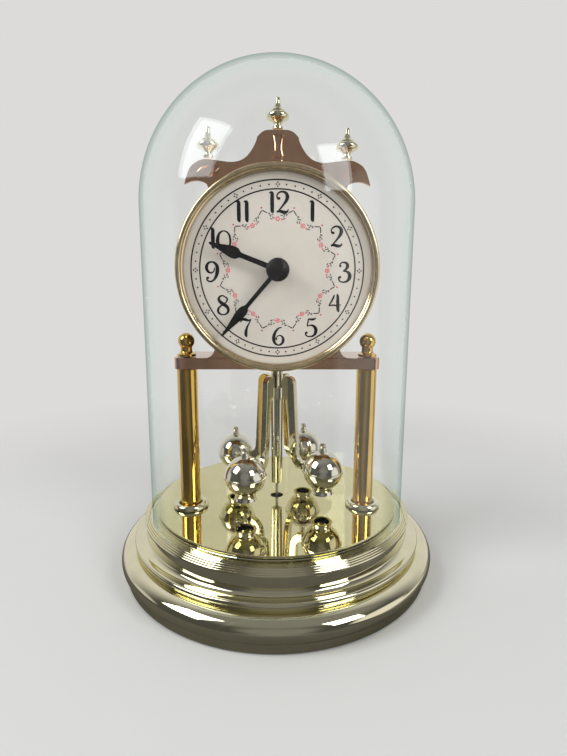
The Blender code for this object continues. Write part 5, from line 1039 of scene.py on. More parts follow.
# Centre of each numeral from the dial's centre, and its height
NUMERALS = (("12", 0.3, 27.9, 8.7), ("1", 14.4, 24.5, 8.6), ("2", 24.8, 14.2, 8.5), ("3", 28.4, -0.6, 8.4),
            ("4", 24.6, -13.6, 8.1), ("5", 14.4, -24.4, 7.9), ("6", 0.2, -28.2, 7.9), ("7", -14.1, -24.6, 7.9),
            ("8", -23.8, -14.8, 8.2), ("9", -28.3, -0.7, 8.4), ("10", -24.2, 13.2, 8.6),
            ("11", -14.9, 24.2, 8.7))


def pen_strokes(name, strokes, pen_turn=0.0):
    """Flat pen strokes in XZ at the origin, from points of x, z and pen width in millimetres."""
    start_clean()
    bpy.ops.curve.primitive_bezier_curve_add(location=(0.0, 0.0, 0.0))
    piece = bpy.context.object
    data = piece.data
    data.splines.clear()
    data.dimensions = "3D"
    data.twist_mode = "Z_UP"
    data.extrude = 0.5 * MM
    data.resolution_u = 6
    for stroke in strokes:
        spline = data.splines.new("BEZIER")
        spline.bezier_points.add(len(stroke) - 1)
        for point, (x, z, width) in zip(spline.bezier_points, stroke):
            point.co = Vector((x, z, 0.0)) * MM
            point.handle_left_type = "AUTO"
            point.handle_right_type = "AUTO"
            point.radius = width
            point.tilt = math.pi / 2
    bpy.ops.object.convert(target="MESH")
    piece = bpy.context.object
    piece.name = name
    piece.data.name = name
    return piece


def print_on_dial(pieces, name, ink, thickness=0.03, lift=0.0):
    """Join flat marks drawn in XY, stand them up on the dial and give the ink its thickness."""
    marks = join(name, pieces)
    dial_front = node_box("dial")[0].y - 0.004 - lift
    use(marks)
    marks.matrix_world = (moved(0.0, dial_front, sizes().dial_height / MM)
                          @ Matrix.Rotation(math.radians(90.0), 4, "X"))
    bpy.ops.object.transform_apply(location=True, rotation=True, scale=True)
    bpy.ops.object.mode_set(mode="EDIT")
    bpy.ops.mesh.select_all(action="SELECT")
    bpy.ops.mesh.remove_doubles(threshold=0.001 * MM)
    bpy.ops.mesh.normals_make_consistent(inside=False)
    bpy.ops.object.mode_set(mode="OBJECT")
    if marks.data.polygons and sum(face.normal.y * face.area for face in marks.data.polygons) > 0:
        bpy.ops.object.mode_set(mode="EDIT")
        bpy.ops.mesh.select_all(action="SELECT")
        bpy.ops.mesh.flip_normals()
        bpy.ops.object.mode_set(mode="OBJECT")
    apply_modifier(marks, "SOLIDIFY", thickness=thickness * MM, offset=1.0)
    return finish(marks, ink, "frame", angle=20.0)


def flat_disc(name, x, z, radius_x, radius_z, steps=12, angle=0.0):
    """A flat oval mark in XY, filled."""
    start_clean()
    bpy.ops.mesh.primitive_circle_add(vertices=steps, radius=radius_x * MM, fill_type="NGON",
                                      location=(x * MM, z * MM, 0.0))
    bpy.ops.object.mode_set(mode="EDIT")
    bpy.ops.mesh.select_all(action="SELECT")
    bpy.ops.transform.resize(value=(1.0, radius_z / radius_x, 1.0))
    bpy.ops.object.mode_set(mode="OBJECT")
    disc = bpy.context.object
    disc.rotation_euler = (0.0, 0.0, angle)
    disc.name = name
    bpy.ops.object.transform_apply(location=True, rotation=True, scale=True)
    return disc


def flat_ring(name, outer, inner, steps=144):
    """A flat printed ring in XY, bridged between two circles."""
    start_clean()
    bpy.ops.mesh.primitive_circle_add(vertices=steps, radius=outer * MM)
    bpy.ops.object.mode_set(mode="EDIT")
    bpy.ops.mesh.primitive_circle_add(vertices=steps, radius=inner * MM)
    bpy.ops.mesh.select_all(action="SELECT")
    bpy.ops.mesh.bridge_edge_loops()
    bpy.ops.object.mode_set(mode="OBJECT")
    piece = bpy.context.object
    piece.name = name
    return piece


def dial_point(radius, clock_angle):
    """A point at a radius and an angle in degrees clockwise from twelve."""
    angle = math.radians(90.0 - clock_angle)
    return radius * math.cos(angle), radius * math.sin(angle)


class CLOCK_OT_numerals(PieceOperator):
    """Write the twelve numerals with a broad pen."""

    bl_idname = "clock.numerals"
    bl_label = "Numerals"

    def execute(self, context):
        strokes = []
        for text, x, z, height in NUMERALS:
            whole = sum(NUMERAL_WIDTHS[digit] for digit in text) - 0.09
            if text == "11":
                whole += 0.05
            pen = x - whole * height / 2
            for place, digit in enumerate(text):
                base = z - (TEN_DROP if text == "10" and place else 0.0)
                for stroke in STROKES[digit]:
                    strokes.append([(pen + a * height, base + (b - 0.5) * height, w * height * PEN_WEIGHT)
                                    for a, b, w in stroke])
                pen += NUMERAL_WIDTHS[digit] * height + (0.05 * height if text == "11" else 0.0)
        print_on_dial([pen_strokes("numerals", strokes)], "dial_numerals", "ink")
        return {"FINISHED"}


class CLOCK_OT_minute_track(PieceOperator):
    """Print the two rings with the minute dots and the hour diamonds between them."""

    bl_idname = "clock.minute_track"
    bl_label = "Minute track"

    def execute(self, context):
        marks = [flat_ring("track_outer", 37.3, 36.7), flat_ring("track_inner", 33.6, 33.0)]
        middle = 35.15
        dot = flat_disc("minute_dot", 0.0, 0.0, 0.36, 0.36, 12)
        for minute in range(60):
            if minute % 5:
                x, z = dial_point(middle, 6.0 * minute)
                marks.append(copied(dot, "dot", moved(x, z)))
            else:
                for rise, aside in ((0.78, 0.0), (-0.78, 0.0), (0.0, 0.66), (0.0, -0.66)):
                    radial, across = dial_point(middle + rise, 6.0 * minute), dial_point(1.0, 6.0 * minute + 90.0)
                    marks.append(copied(dot, "dot", moved(radial[0] + aside * across[0],
                                                          radial[1] + aside * across[1])
                                        @ Matrix.Diagonal((0.95, 0.95, 1.0, 1.0))))
        bpy.data.objects.remove(dot, do_unlink=True)
        print_on_dial(marks, "dial_minute_track", "ink")
        return {"FINISHED"}


class CLOCK_OT_garland(PieceOperator):
    """Print the garland of small roses inside the numerals."""

    bl_idname = "clock.garland"
    bl_label = "Garland"

    def execute(self, context):
        petal = flat_disc("petal", 0.0, 0.0, 0.78, 0.68, 14)
        bud = flat_disc("bud", 0.0, 0.0, 0.42, 0.19, 8)
        leaf_mark = flat_disc("leaf", 0.0, 0.0, 0.52, 0.20, 8)
        rose_marks, light_marks, leaf_marks, tips, stems = [], [], [], [], []

        def stamp(store, mark, x, z, angle=0.0, size=1.0):
            place = moved(x, z) @ Matrix.Rotation(angle, 4, "Z") @ Matrix.Diagonal((size, size, 1.0, 1.0))
            store.append(copied(mark, "mark", place))

        for hour in range(12):
            x, z = dial_point(21.3, 30.0 * hour)
            for blossom, (along, rise, size) in enumerate(((0.0, 0.0, 1.0), (-1.70, 0.3, 0.46), (1.70, -0.2, 0.46))):
                tangent = math.radians(-30.0 * hour)
                bx = x + along * math.cos(tangent) - rise * math.sin(tangent)
                bz = z + along * math.sin(tangent) + rise * math.cos(tangent)
                stamp(light_marks, petal, bx, bz, tangent, size)
                for leaf_index in range(5):
                    turn_angle = tangent + 2 * math.pi * leaf_index / 5 + blossom
                    reach = 0.80 * size
                    stamp(rose_marks, bud, bx + reach * math.cos(turn_angle), bz + reach * math.sin(turn_angle),
                          turn_angle + math.pi / 2, size * 1.1)
                stamp(rose_marks, bud, bx, bz, tangent + 0.6, size * 0.85)
            for side in (-1, 1):
                stamp(leaf_marks, leaf_mark, x + side * 2.75 * math.cos(tangent), z + side * 2.75 * math.sin(tangent),
                      tangent + side * 0.5, 1.15)
            for side in (-1, 1):
                peak = Vector(dial_point(25.6, 30.0 * hour + side * 15.0))
                home = Vector((x, z))
                way = home - peak
                angle = math.atan2(way.y, way.x)
                across = Vector((-way.y, way.x)).normalized()
                for start, end, width in ((0.02, 0.34, 0.42), (0.40, 0.50, 0.30), (0.54, 0.60, 0.26)):
                    first, last = peak + way * start, peak + way * end
                    stems.append([(first.x, first.y, width), ((first.x + last.x) / 2, (first.y + last.y) / 2, width),
                                  (last.x, last.y, width * 0.8)])
                for share, offset, tilt in ((0.45, 0.42, 0.5), (0.56, -0.40, -0.5), (0.64, 0.42, 0.6),
                                            (0.72, -0.44, -0.4)):
                    spot = peak + way * share + across * offset
                    stamp(leaf_marks, leaf_mark, spot.x, spot.y, angle + tilt)
            tip = dial_point(26.6, 30.0 * hour + 15.0)
            stamp(tips, petal, tip[0], tip[1], 0.0, 0.50)
        for source in (petal, bud, leaf_mark):
            bpy.data.objects.remove(source, do_unlink=True)
        print_on_dial(light_marks, "garland_blush", "rose_light", 0.02)
        print_on_dial(rose_marks + tips, "garland_roses", "rose", 0.02, 0.006)
        print_on_dial(leaf_marks, "garland_leaves", "leaf", 0.02)
        print_on_dial([pen_strokes("garland_stems", stems)], "garland_stalks", "ink", 0.02)
        return {"FINISHED"}


# Hands

HAND_SIDE = ((0.10, 0.23), (0.30, 0.22), (0.52, 0.21), (0.555, 0.25), (0.575, 0.36), (0.600, 0.46),
             (0.635, 0.50), (0.680, 0.485), (0.740, 0.41), (0.820, 0.29), (0.900, 0.19), (0.960, 0.135),
             (0.985, 0.10), (1.0, 0.03))


def hand(name, reach, width, boss, hole, depth, thickness, angle):
    """A hand with a round boss, a straight stem and a tapering bulb, turned to its hour."""
    side = [(width * x, reach * y) for y, x in HAND_SIDE]
    start = math.degrees(math.acos(side[0][0] / boss))
    half = arc(0.0, 0.0, boss, boss, -90.0, start, 24)
    half[0] = (0.0, -boss)
    rest = [point for point in side if point[1] > boss]
    half += [rest[0]] + curve_through(rest[1:], 4)
    half += [(0.0, reach)]
    piece = sheet(name, [mirrored(half), ring(hole, 32)], depth, depth + thickness, bevel=0.16)
    centre = sizes().dial_height / MM
    return copied_away(piece, name, moved(0.0, 0.0, centre) @ turned(90.0 - angle, "Y"))


def copied_away(piece, name, matrix):
    """Move a piece by a matrix and put the place into its mesh."""
    use(piece)
    piece.matrix_world = matrix
    bpy.ops.object.transform_apply(location=True, rotation=True, scale=True)
    piece.name = name
    return piece


class CLOCK_OT_hands(PieceOperator):
    """Stamp the hands and turn the cap over their hub."""

    bl_idname = "clock.hands"
    bl_label = "Hands"

    def execute(self, context):
        low, high = node_box("hour_hand")
        hour = hand("hour_hand_stamped", 30.7, 5.0, 4.2, 2.8, -high.y, high.y - low.y, 159.0)
        finish(hour, "hand", "hour_train", "hour_hand")
        low, high = node_box("minute_hand")
        minute = hand("minute_hand_stamped", 36.7, 4.1, 3.6, 1.6, -high.y, high.y - low.y, -130.7)
        finish(minute, "hand", "minute_train", "minute_hand")
        low, high = node_box("hub_cap")
        rim, back, front = high.x, -high.y, -low.y
        profile = [(0.0, front)] + arc(0.0, back + 0.55, rim, front - back - 0.55, 84.0, 6.0, 16)
        profile += [(rim, back + 0.45), (rim, back + 0.12), (rim - 0.12, back), (1.6, back), (1.6, front - 0.8),
                    (0.0, front - 0.8)]
        cap = turn("hub_cap_turned", profile, (0.0, 0.0, sizes().dial_height / MM), front=True,
                   steps=sizes().small_steps)
        finish(cap, "hand", "minute_train", "hub_cap")
        return {"FINISHED"}


# Movement

class CLOCK_OT_movement(PieceOperator):
    """Mould the movement's case, its back with ribs, the battery cover and the setting knob."""

    bl_idname = "clock.movement"
    bl_label = "Movement"

    def execute(self, context):
        low, high = node_box("movement_case")
        case = block("case_moulded", low, high, 0.9)
        hollow = block("case_room", (low.x + 1.5, low.y + 1.5, low.z + 1.5),
                       (high.x - 1.5, high.y + 1.0, high.z - 1.5), 0.4)
        cut(case, hollow)
        centre = sizes().dial_height / MM
        cut(case, turn("bushing_drill", [(0.0, 13.0), (4.3, 13.0), (4.3, 17.0), (0.0, 17.0)], (0.0, 0.0, centre),
                       front=True, steps=48))
        cut(case, turn("bush_drill", [(0.0, 0.0), (3.0, 0.0), (3.0, 4.0), (0.0, 4.0)], (0.0, 0.0, low.z - 1.0),
                       steps=32))
        finish(case, "black_plastic", "frame", "movement_case")

        low, high = node_box("movement_back")
        back = block("back_plate", low, high, 0.35)
        door_low, door_high = node_box("battery_cover")
        door_way = block("door_way", (door_low.x - 0.3, low.y - 1.0, door_low.z - 0.3),
                         (door_high.x + 0.3, high.y + 1.0, door_high.z + 0.3), 0.15)
        cut(back, door_way)
        knob = node_middle("setting_knob")
        cut(back, turn("knob_drill", [(0.0, -9.6), (1.5, -9.6), (1.5, -6.0), (0.0, -6.0)], (knob.x, 0.0, knob.z),
                       front=True, steps=32))
        frame_edge = block("back_frame", (-20.0, high.y - 0.01, 138.0), (20.0, high.y + 0.35, 154.0), 0.15)
        frame_room = block("back_frame_room", (-19.0, high.y - 1.0, 139.0), (19.0, high.y + 1.0, 153.0), 0.15)
        cut(frame_edge, frame_room)
        ribs = []
        for row in range(4):
            z = 106.0 + 2.4 * row
            ribs.append(block("back_rib", (-18.0, high.y - 0.01, z), (18.0, high.y + 0.35, z + 1.0), 0.12, 2))
        join("back_plate", [back, frame_edge] + ribs)
        finish(back, "black_plastic", "frame", "movement_back")

        low, high = node_box("battery_cover")
        plate_back = node_box("movement_back")[1].y
        door = block("battery_door", low, (high.x, plate_back, high.z), 0.3)
        grips = []
        middle = (low.z + high.z) / 2
        for index in range(5):
            z = middle - 0.65 + 0.325 * index
            grips.append(block("door_grip", (-6.0, plate_back - 0.2, z - 0.12), (6.0, high.y, z + 0.12), 0.05, 1))
        rim = block("door_rim", (low.x + 1.2, plate_back - 0.2, low.z + 1.2),
                    (high.x - 1.2, plate_back + 0.25, high.z - 1.2), 0.15)
        rim_room = block("door_rim_room", (low.x + 1.9, plate_back - 1.0, low.z + 1.9),
                         (high.x - 1.9, plate_back + 1.0, high.z - 1.9), 0.15)
        cut(rim, rim_room)
        join("battery_door", [door, rim] + grips)
        finish(door, "black_plastic", "battery_cover", "battery_cover")

        outline = []
        teeth = 36
        for index in range(teeth * 4):
            angle = 2 * math.pi * index / (teeth * 4)
            radius = 5.5 if index % 4 in (0, 1) else 5.22
            outline.append((knob.x + radius * math.cos(angle), knob.z + radius * math.sin(angle)))
        low, high = node_box("setting_knob")
        grip = sheet("knob_grip", [outline], -high.y, -high.y + 3.6, bevel=0.0)
        dish = turn("knob_dish", [(0.0, -high.y - 1.0), (4.0, -high.y - 1.0), (4.0, -high.y + 0.5),
                                  (3.6, -high.y + 0.7), (0.0, -high.y + 0.7)], (knob.x, 0.0, knob.z), front=True,
                    steps=48)
        cut(grip, dish)
        arrow = sheet("knob_mark", [[(-1.6, 0.0), (0.6, 1.7), (0.6, 0.6), (2.0, 0.6), (2.0, -0.6), (0.6, -0.6),
                                     (0.6, -1.7)]], -high.y + 0.4, -high.y + 0.75, bevel=0.06)
        arrow = copied_away(arrow, "knob_mark", moved(knob.x, 0.0, knob.z))
        shaft = turn("knob_shaft", [(0.0, 13.6), (0.7, 13.6), (1.2, 8.3), (1.2, -8.9), (1.6, -8.9),
                                    (1.6, -9.3), (0.0, -9.3)], (knob.x, 0.0, knob.z), front=True, steps=32)
        wheel = turn("knob_pinion", [(1.2, 8.4), (2.5, 8.4), (2.5, 7.2), (1.2, 7.2), (1.2, 8.4)],
                     (knob.x, 0.0, knob.z), front=True, steps=24)
        piece = join("knob_knurled", [grip, arrow, shaft, wheel])
        finish(piece, "black_plastic", "setting_knob", "setting_knob")
        return {"FINISHED"}


# Pendulum

BALL_ANGLES = (235.8, 325.8, 55.8, 145.8)


class CLOCK_OT_pendulum_balls(PieceOperator):
    """Turn one ball with its ringed nub, seam and open collar, and copy it round the pendulum."""

    bl_idname = "clock.pendulum_balls"
    bl_label = "Pendulum balls"

    def execute(self, context):
        radius = sizes().ball_radius / MM
        top = radius + 4.0
        profile = [(0.0, top), (1.1, top), (1.4, top - 0.2), (1.5, top - 0.7), (1.35, top - 1.0),
                   (1.3, top - 1.25), (1.65, top - 1.45), (1.85, top - 1.75), (1.65, top - 2.05),
                   (1.3, top - 2.25), (1.3, top - 2.6), (1.7, top - 2.85), (1.85, top - 3.2), (1.85, top - 3.8)]
        profile += arc(0.0, 0.0, radius, radius, 77.5, 3.0, 26)
        profile += [(radius + 0.15, 0.46), (radius + 0.45, 0.38), (radius + 0.5, 0.2), (radius + 0.5, -0.2),
                    (radius + 0.45, -0.38), (radius + 0.15, -0.46)]
        profile += arc(0.0, 0.0, radius, radius, -3.0, -57.0, 20)
        foot = -radius - 1.9
        profile += [(4.95, foot + 3.1), (4.8, foot + 2.6), (4.75, foot + 1.9), (4.9, foot + 1.1),
                    (5.2, foot + 0.5), (5.2, foot + 0.2), (4.95, foot), (4.1, foot), (3.8, foot + 0.2),
                    (3.7, foot + 3.0), (0.0, foot + 3.0)]
        first = turn("ball_1", profile, steps=72)
        for number, angle in enumerate(BALL_ANGLES, 1):
            x, y = 26.0 * math.cos(math.radians(angle)), 26.0 * math.sin(math.radians(angle))
            place = moved(x, y, sizes().ball_height / MM)
            piece = copied(first, "ball_turned_%d" % number, place)
            finish(piece, "ball", "pendulum", "pendulum_ball_%d" % number)
        bpy.data.objects.remove(first, do_unlink=True)
        return {"FINISHED"}


class CLOCK_OT_pendulum_stem(PieceOperator):
    """Make the hanger sleeve, the hub with its four arms and the fluted column."""

    bl_idname = "clock.pendulum_stem"
    bl_label = "Pendulum stem"

    def execute(self, context):
        low, high = node_box("hanger_sleeve")
        ribs = []
        for index in range(96):
            angle = 2 * math.pi * index / 96
            radius = 2.95 - 0.30 * (0.5 - 0.5 * math.cos(8 * angle)) ** 0.7
            ribs.append((radius * math.cos(angle), radius * math.sin(angle)))
        sleeve = sheet("sleeve_fluted", [ribs, ring(1.5, 32)], low.z, high.z, upright=False)
        finish(sleeve, "champagne", "pendulum", "hanger_sleeve")

        hub_low, hub_high = 80.9, 86.7
        hub_profile = [(1.5, hub_low), (4.1, hub_low), (4.4, hub_low + 0.2), (4.6, hub_low + 0.6)]
        hub_profile += [(4.6, hub_high - 0.5), (4.55, hub_high - 0.2), (4.3, hub_high), (3.45, hub_high),
                        (3.25, hub_high - 0.2), (3.25, hub_high - 1.6), (1.5, hub_high - 1.6), (1.5, hub_low)]
        hub = turn("spider_hub", hub_profile, steps=sizes().small_steps)
        beads = []
        bead_profile = [(0.0, 0.42)] + arc(0.0, 0.0, 0.42, 0.42, 60.0, -60.0, 4) + [(0.0, -0.42)]
        bead = turn("bead", bead_profile, steps=8)
        for index in range(20):
            angle = math.radians(18.0 * index)
            beads.append(copied(bead, "socket_bead", moved(3.95 * math.cos(angle), 3.95 * math.sin(angle),
                                                           hub_high + 0.08)))
        bpy.data.objects.remove(bead, do_unlink=True)
        ball_z = sizes().ball_height / MM
        top = hub_high + 5.8
        shoulder, foot = top - 3.7, ball_z + 6.4
        outline = [(3.05, hub_high)]
        outline += arc(6.7, shoulder, 3.7, 3.7, 144.0, 0.0, 22)
        outline += arc(15.9, foot, 3.6, foot - ball_z - 2.2, 180.0, 270.0, 14)
        outline += arc(15.9, foot, 7.3, foot - ball_z + 2.2, 270.0, 180.0, 18)
        outline += [(6.7, hub_low), (3.05, hub_low)]
        arm = sheet("arm", [outline], -1.55, 1.55, bevel=0.7, segments=4)
        arms = []
        for number, angle in enumerate(BALL_ANGLES, 1):
            arms.append(copied(arm, "arm_%d" % number, turned(angle)))
        bpy.data.objects.remove(arm, do_unlink=True)
        spider = join("spider_cast", [hub] + arms + beads)
        finish(spider, "champagne", "pendulum", "pendulum_spider")

        low, high = node_box("fluted_column")
        outline = []
        for index in range(96):
            angle = 2 * math.pi * index / 96
            radius = 3.4 - 0.5 * (0.5 + 0.5 * math.cos(8 * angle)) ** 0.8
            outline.append((radius * math.cos(angle), radius * math.sin(angle)))
        column = sheet("column_fluted", [outline, ring(1.5, 48)], low.z, high.z, upright=False)
        use(column)
        bpy.ops.object.mode_set(mode="EDIT")
        bpy.ops.mesh.select_all(action="DESELECT")
        bpy.ops.object.mode_set(mode="OBJECT")
        for vertex in column.data.vertices:
            vertex.select = vertex.co.z < (low.z + 1.0) * MM and vertex.co.xy.length > 2.0 * MM
        bpy.ops.object.mode_set(mode="EDIT")
        bpy.ops.transform.resize(value=(2.8 / 3.4, 2.8 / 3.4, 1.0), center_override=(0.0, 0.0, low.z * MM))
        bpy.ops.object.mode_set(mode="OBJECT")
        round_edges(column, 0.35, 3, 60.0)
        finish(column, "champagne", "pendulum", "fluted_column", angle=40.0)
        return {"FINISHED"}


# Dome

class CLOCK_OT_dome(PieceOperator):
    """Blow the glass dome: a straight wall, a round top and a fire-polished rim."""

    bl_idname = "clock.dome"
    bl_label = "Glass dome"

    def execute(self, context):
        low, high = node_box("glass_dome")
        outer, wall = sizes().dome_radius / MM, sizes().dome_wall / MM
        inner = outer - wall
        shoulder = high.z - outer
        profile = [(0.0, high.z)] + arc(0.0, shoulder, outer, outer, 88.5, 0.0, 59)
        straight = [(low.z + (shoulder - low.z) * share) for share in (0.8, 0.6, 0.4, 0.2)]
        profile += [(outer, z) for z in straight]
        profile += arc(outer - wall / 2, low.z + wall / 2, wall / 2, wall / 2, 0.0, -180.0, 10)
        profile += [(inner, z) for z in reversed(straight)]
        profile += arc(0.0, shoulder, inner, inner, 0.0, 88.5, 59) + [(0.0, shoulder + inner)]
        dome = turn("dome_blown", profile, steps=240)
        finish(dome, "glass", "dome", "glass_dome", angle=60.0)
        return {"FINISHED"}


# Finishes, stage and camera

class CLOCK_OT_finishes(PieceOperator):
    """Mix the finishes and give every frame node its own."""

    bl_idname = "clock.finishes"
    bl_label = "Finishes"

    def execute(self, context):
        mix_finishes()
        for finish_name, names in NODE_FINISHES.items():
            for name in names:
                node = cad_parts[name]
                node.data.materials.clear()
                node.data.materials.append(FINISH[finish_name])
        return {"FINISHED"}


BACKDROP = (1.0, 0.985, 0.965)
BACKDROP_LEVEL = 0.72
LIGHT_LEVEL = 0.42
# What the plating sees of the room: a level for all of it, then each lighter side with its direction,
# the cosines where it starts and is full, and its level
ROOM_DARK = 0.08
ROOM_SIDES = (((0.0, 1.0, 0.0), -0.15, 0.60, 0.66), ((0.0, 0.0, 1.0), 0.40, 0.85, 0.16),
              ((0.0, -0.95, 0.31), 0.86, 0.97, 0.15),
              ((0.93, -0.37, 0.0), 0.90, 0.96, 0.85), ((-0.97, 0.10, 0.0), 0.93, 0.97, 0.55))


class Sums:
    """Short calls for value nodes in a node tree."""

    def __init__(self, tree):
        self.tree = tree

    def maths(self, operation, first, second):
        """A sum, product or the like of two values."""
        node = self.tree.nodes.new("ShaderNodeMath")
        node.operation = operation
        for socket, value in zip(node.inputs, (first, second)):
            if isinstance(value, float):
                socket.default_value = value
            else:
                self.tree.links.new(value, socket)
        return node.outputs["Value"]

    def spread(self, value, start, end, low, high):
        """A value spread smoothly from one range to another."""
        node = self.tree.nodes.new("ShaderNodeMapRange")
        node.interpolation_type = "SMOOTHSTEP"
        for socket, number in zip(("From Min", "From Max", "To Min", "To Max"), (start, end, low, high)):
            node.inputs[socket].default_value = number
        self.tree.links.new(value, node.inputs["Value"])
        return node.outputs["Result"]

    def mirrored(self):
        """One where a ray has left a mirror, nought where it only came through glass."""
        path = self.tree.nodes.new("ShaderNodeLightPath")
        return self.maths("MINIMUM", path.outputs["Glossy Depth"], 1.0)

    def room(self, direction):
        """How light the room is that the plating sees in a direction."""
        level = None
        for side, start, end, light in ROOM_SIDES:
            dot = self.tree.nodes.new("ShaderNodeVectorMath")
            dot.operation = "DOT_PRODUCT"
            dot.inputs[1].default_value = side
            self.tree.links.new(direction, dot.inputs[0])
            lit = self.spread(dot.outputs["Value"], start, end, 0.0, light)
            level = self.maths("MAXIMUM", level, lit) if level else lit
        return self.maths("ADD", level, ROOM_DARK)


def stage_surface(name, tone, rough):
    """Matt paper that fades into the backdrop away from the clock; where the plating sees it, the paper is painted
    darker, a painted dark reflection, and shows the dim room.
    """
    nodes = Nodes(name)
    sums = Sums(nodes.tree)
    cloud = nodes.noise(nodes.mapped((3.0,) * 3), 1.0, 4.0, 0.5)
    paper = nodes.ramp(cloud, ((0.30, shade(tone, 0.985)), (0.70, shade(tone, 1.015))))
    mirrored = sums.mirrored()
    # Seen in the plating, the paper's colour is multiplied down: a painted dark reflection, not a darker paper.
    painted_dark_reflection = nodes.add("ShaderNodeMix", data_type="RGBA", blend_type="MULTIPLY")
    nodes.link(mirrored, painted_dark_reflection.inputs["Factor"])
    nodes.link(paper, painted_dark_reflection.inputs["A"])
    painted_dark_reflection.inputs["B"].default_value = (0.19, 0.18, 0.17, 1.0)
    nodes.link(painted_dark_reflection.outputs["Result"], nodes.shader.inputs["Base Color"])
    nodes.link(nodes.ranged(cloud, rough * 0.95, rough), nodes.shader.inputs["Roughness"])
    nodes.set(0.0, Specular_IOR_Level=0.1)
    reach = nodes.add("ShaderNodeVectorMath", operation="LENGTH")
    nodes.link(nodes.place, reach.inputs["Vector"])
    away = nodes.add("ShaderNodeVectorMath", operation="NORMALIZE")
    nodes.link(nodes.place, away.inputs["Vector"])
    near = sums.spread(reach.outputs["Value"], 0.085, 0.16, 0.0, 1.0)
    far = sums.spread(reach.outputs["Value"], 0.10, 0.42, 0.0, 1.0)
    fade = sums.maths("MAXIMUM", far, sums.maths("MULTIPLY", near, mirrored))
    plain = sums.maths("MULTIPLY", sums.maths("SUBTRACT", 1.0, mirrored), BACKDROP_LEVEL)
    seen_room = sums.maths("MULTIPLY", sums.room(away.outputs["Vector"]), mirrored)
    glow = nodes.add("ShaderNodeEmission")
    glow.inputs["Color"].default_value = (*BACKDROP, 1.0)
    nodes.link(sums.maths("ADD", plain, seen_room), glow.inputs["Strength"])
    mix = nodes.add("ShaderNodeMixShader")
    nodes.link(fade, mix.inputs["Fac"])
    nodes.link(nodes.shader.outputs["BSDF"], mix.inputs[1])
    nodes.link(glow.outputs["Emission"], mix.inputs[2])
    nodes.link(mix.outputs["Shader"], nodes.output.inputs["Surface"])
    return nodes.material


def plain_room():
    """A pale backdrop that the camera sees, a softer level for the light and a dim room in the plating."""
    world = bpy.data.worlds.new("plain_room")
    world.use_nodes = True
    tree = world.node_tree
    sums = Sums(tree)
    path = tree.nodes.new("ShaderNodeLightPath")
    seen = sums.maths("MAXIMUM", path.outputs["Is Camera Ray"], path.outputs["Is Glossy Ray"])
    seen = sums.maths("MAXIMUM", seen, path.outputs["Is Transmission Ray"])
    mirrored = sums.mirrored()
    direction = tree.nodes.new("ShaderNodeTexCoord").outputs["Generated"]
    plain = sums.maths("MULTIPLY", sums.spread(seen, 0.0, 1.0, LIGHT_LEVEL, BACKDROP_LEVEL),
                       sums.maths("SUBTRACT", 1.0, mirrored))
    level = sums.maths("ADD", plain, sums.maths("MULTIPLY", sums.room(direction), mirrored))
    background = tree.nodes["Background"]
    background.inputs["Color"].default_value = (*BACKDROP, 1.0)
    tree.links.new(level, background.inputs["Strength"])
    return world


def soft_lamp(name, place, target, width, height, watts, tone=(1.0, 1.0, 1.0)):
    """A soft box at a place, turned to its target; places in metres."""
    start_clean()
    bpy.ops.object.light_add(type="AREA", location=place)
    lamp = bpy.context.object
    lamp.name = name
    lamp.data.shape = "RECTANGLE"
    lamp.data.size = width
    lamp.data.size_y = height
    lamp.data.energy = watts
    lamp.data.color = tone
    lamp.rotation_mode = "QUATERNION"
    lamp.rotation_quaternion = (Vector(target) - Vector(place)).to_track_quat("-Z", "Y")
    return lamp


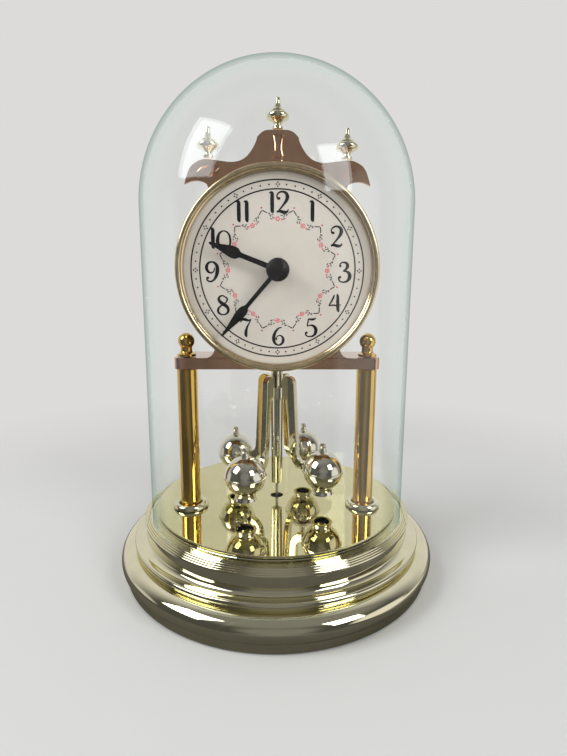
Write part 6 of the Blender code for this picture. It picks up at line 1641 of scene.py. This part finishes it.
class CLOCK_OT_stage(PieceOperator):
    """Lay the pale sweep, set the soft lamps and place the camera."""

    bl_idname = "clock.stage"
    bl_label = "Stage"

    def execute(self, context):
        scene = context.scene
        scene.view_settings.view_transform = "Standard"
        start_clean()
        bpy.ops.mesh.primitive_plane_add(size=6.0, location=(0.0, 0.0, 0.0))
        floor = bpy.context.object
        floor.name = "floor"
        floor.data.materials.append(stage_surface("floor_paper", colours().floor, 0.8))

        dial = (0.0, 0.0, 0.17)
        soft_lamp("window_left", (-0.712, -0.316, 0.699), dial, 0.48, 0.58, 4.3, (0.94, 0.98, 1.0))
        soft_lamp("window_right", (0.615, -0.604, 0.568), dial, 0.36, 0.44, 2.8, (0.94, 0.98, 1.0))
        scene.world = plain_room()

        bpy.ops.object.camera_add(location=(0.0, 0.0, 0.0))
        camera = bpy.context.object
        camera.name = "camera"
        data = camera.data
        data.sensor_fit = "HORIZONTAL"
        data.sensor_width = 36.0
        data.lens = 470.0 / 567.0 * 36.0
        data.clip_start = 0.01
        data.clip_end = 50.0
        swing, tilt, roll, yaw = math.radians(-1.02), 0.17030773, 0.00420908, -0.004479
        place = Vector((0.00213407, -0.22639159, 0.12974456))
        level_ahead = Vector((-math.sin(yaw), math.cos(yaw), 0.0))
        level_right = Vector((math.cos(yaw), math.sin(yaw), 0.0))
        ahead = math.cos(tilt) * level_ahead - math.sin(tilt) * Vector((0.0, 0.0, 1.0))
        up = math.sin(tilt) * level_ahead + math.cos(tilt) * Vector((0.0, 0.0, 1.0))
        right = math.cos(roll) * level_right + math.sin(roll) * up
        upright = -math.sin(roll) * level_right + math.cos(roll) * up
        turn_to = Matrix((right, upright, -ahead)).transposed().to_4x4()
        camera.matrix_world = Matrix.Rotation(swing, 4, "Z") @ Matrix.Translation(place) @ turn_to
        scene.camera = camera
        return {"FINISHED"}


# Panel and start

PIECES = (CLOCK_OT_finishes, CLOCK_OT_stage, CLOCK_OT_base, CLOCK_OT_mirror_plate, CLOCK_OT_columns,
          CLOCK_OT_bridge, CLOCK_OT_crest, CLOCK_OT_urns, CLOCK_OT_bezel, CLOCK_OT_dial, CLOCK_OT_numerals,
          CLOCK_OT_minute_track, CLOCK_OT_garland, CLOCK_OT_hands, CLOCK_OT_movement,
          CLOCK_OT_pendulum_balls, CLOCK_OT_pendulum_stem, CLOCK_OT_dome)


class CLOCK_PT_pieces(bpy.types.Panel):
    """Lists the sizes, the colours and the pieces of the clock."""

    bl_label = "Anniversary clock"
    bl_idname = "CLOCK_PT_pieces"
    bl_space_type = "VIEW_3D"
    bl_region_type = "UI"
    bl_category = "Clock"

    def draw(self, context):
        layout = self.layout
        for group in (context.scene.clock_sizes, context.scene.clock_colours):
            column = layout.column(align=True)
            for name in group.__annotations__:
                column.prop(group, name)
        column = layout.column(align=True)
        for piece in PIECES:
            column.operator(piece.bl_idname)


CLASSES = (ClockSizes, ClockColours) + PIECES + (CLOCK_PT_pieces,)


def register():
    """Register the classes and hang the settings on the scene."""
    for entry in CLASSES:
        bpy.utils.register_class(entry)
    bpy.types.Scene.clock_sizes = PointerProperty(type=ClockSizes)
    bpy.types.Scene.clock_colours = PointerProperty(type=ClockColours)


def unregister():
    """Take the settings and the classes away again."""
    del bpy.types.Scene.clock_colours
    del bpy.types.Scene.clock_sizes
    for entry in reversed(CLASSES):
        bpy.utils.unregister_class(entry)


def main():
    """Make every piece in order."""
    register()
    for piece in PIECES:
        group, call = piece.bl_idname.split(".")
        getattr(getattr(bpy.ops, group), call)()
    start_clean()
    bpy.context.view_layer.update()


if __name__ == "__main__":
    main()
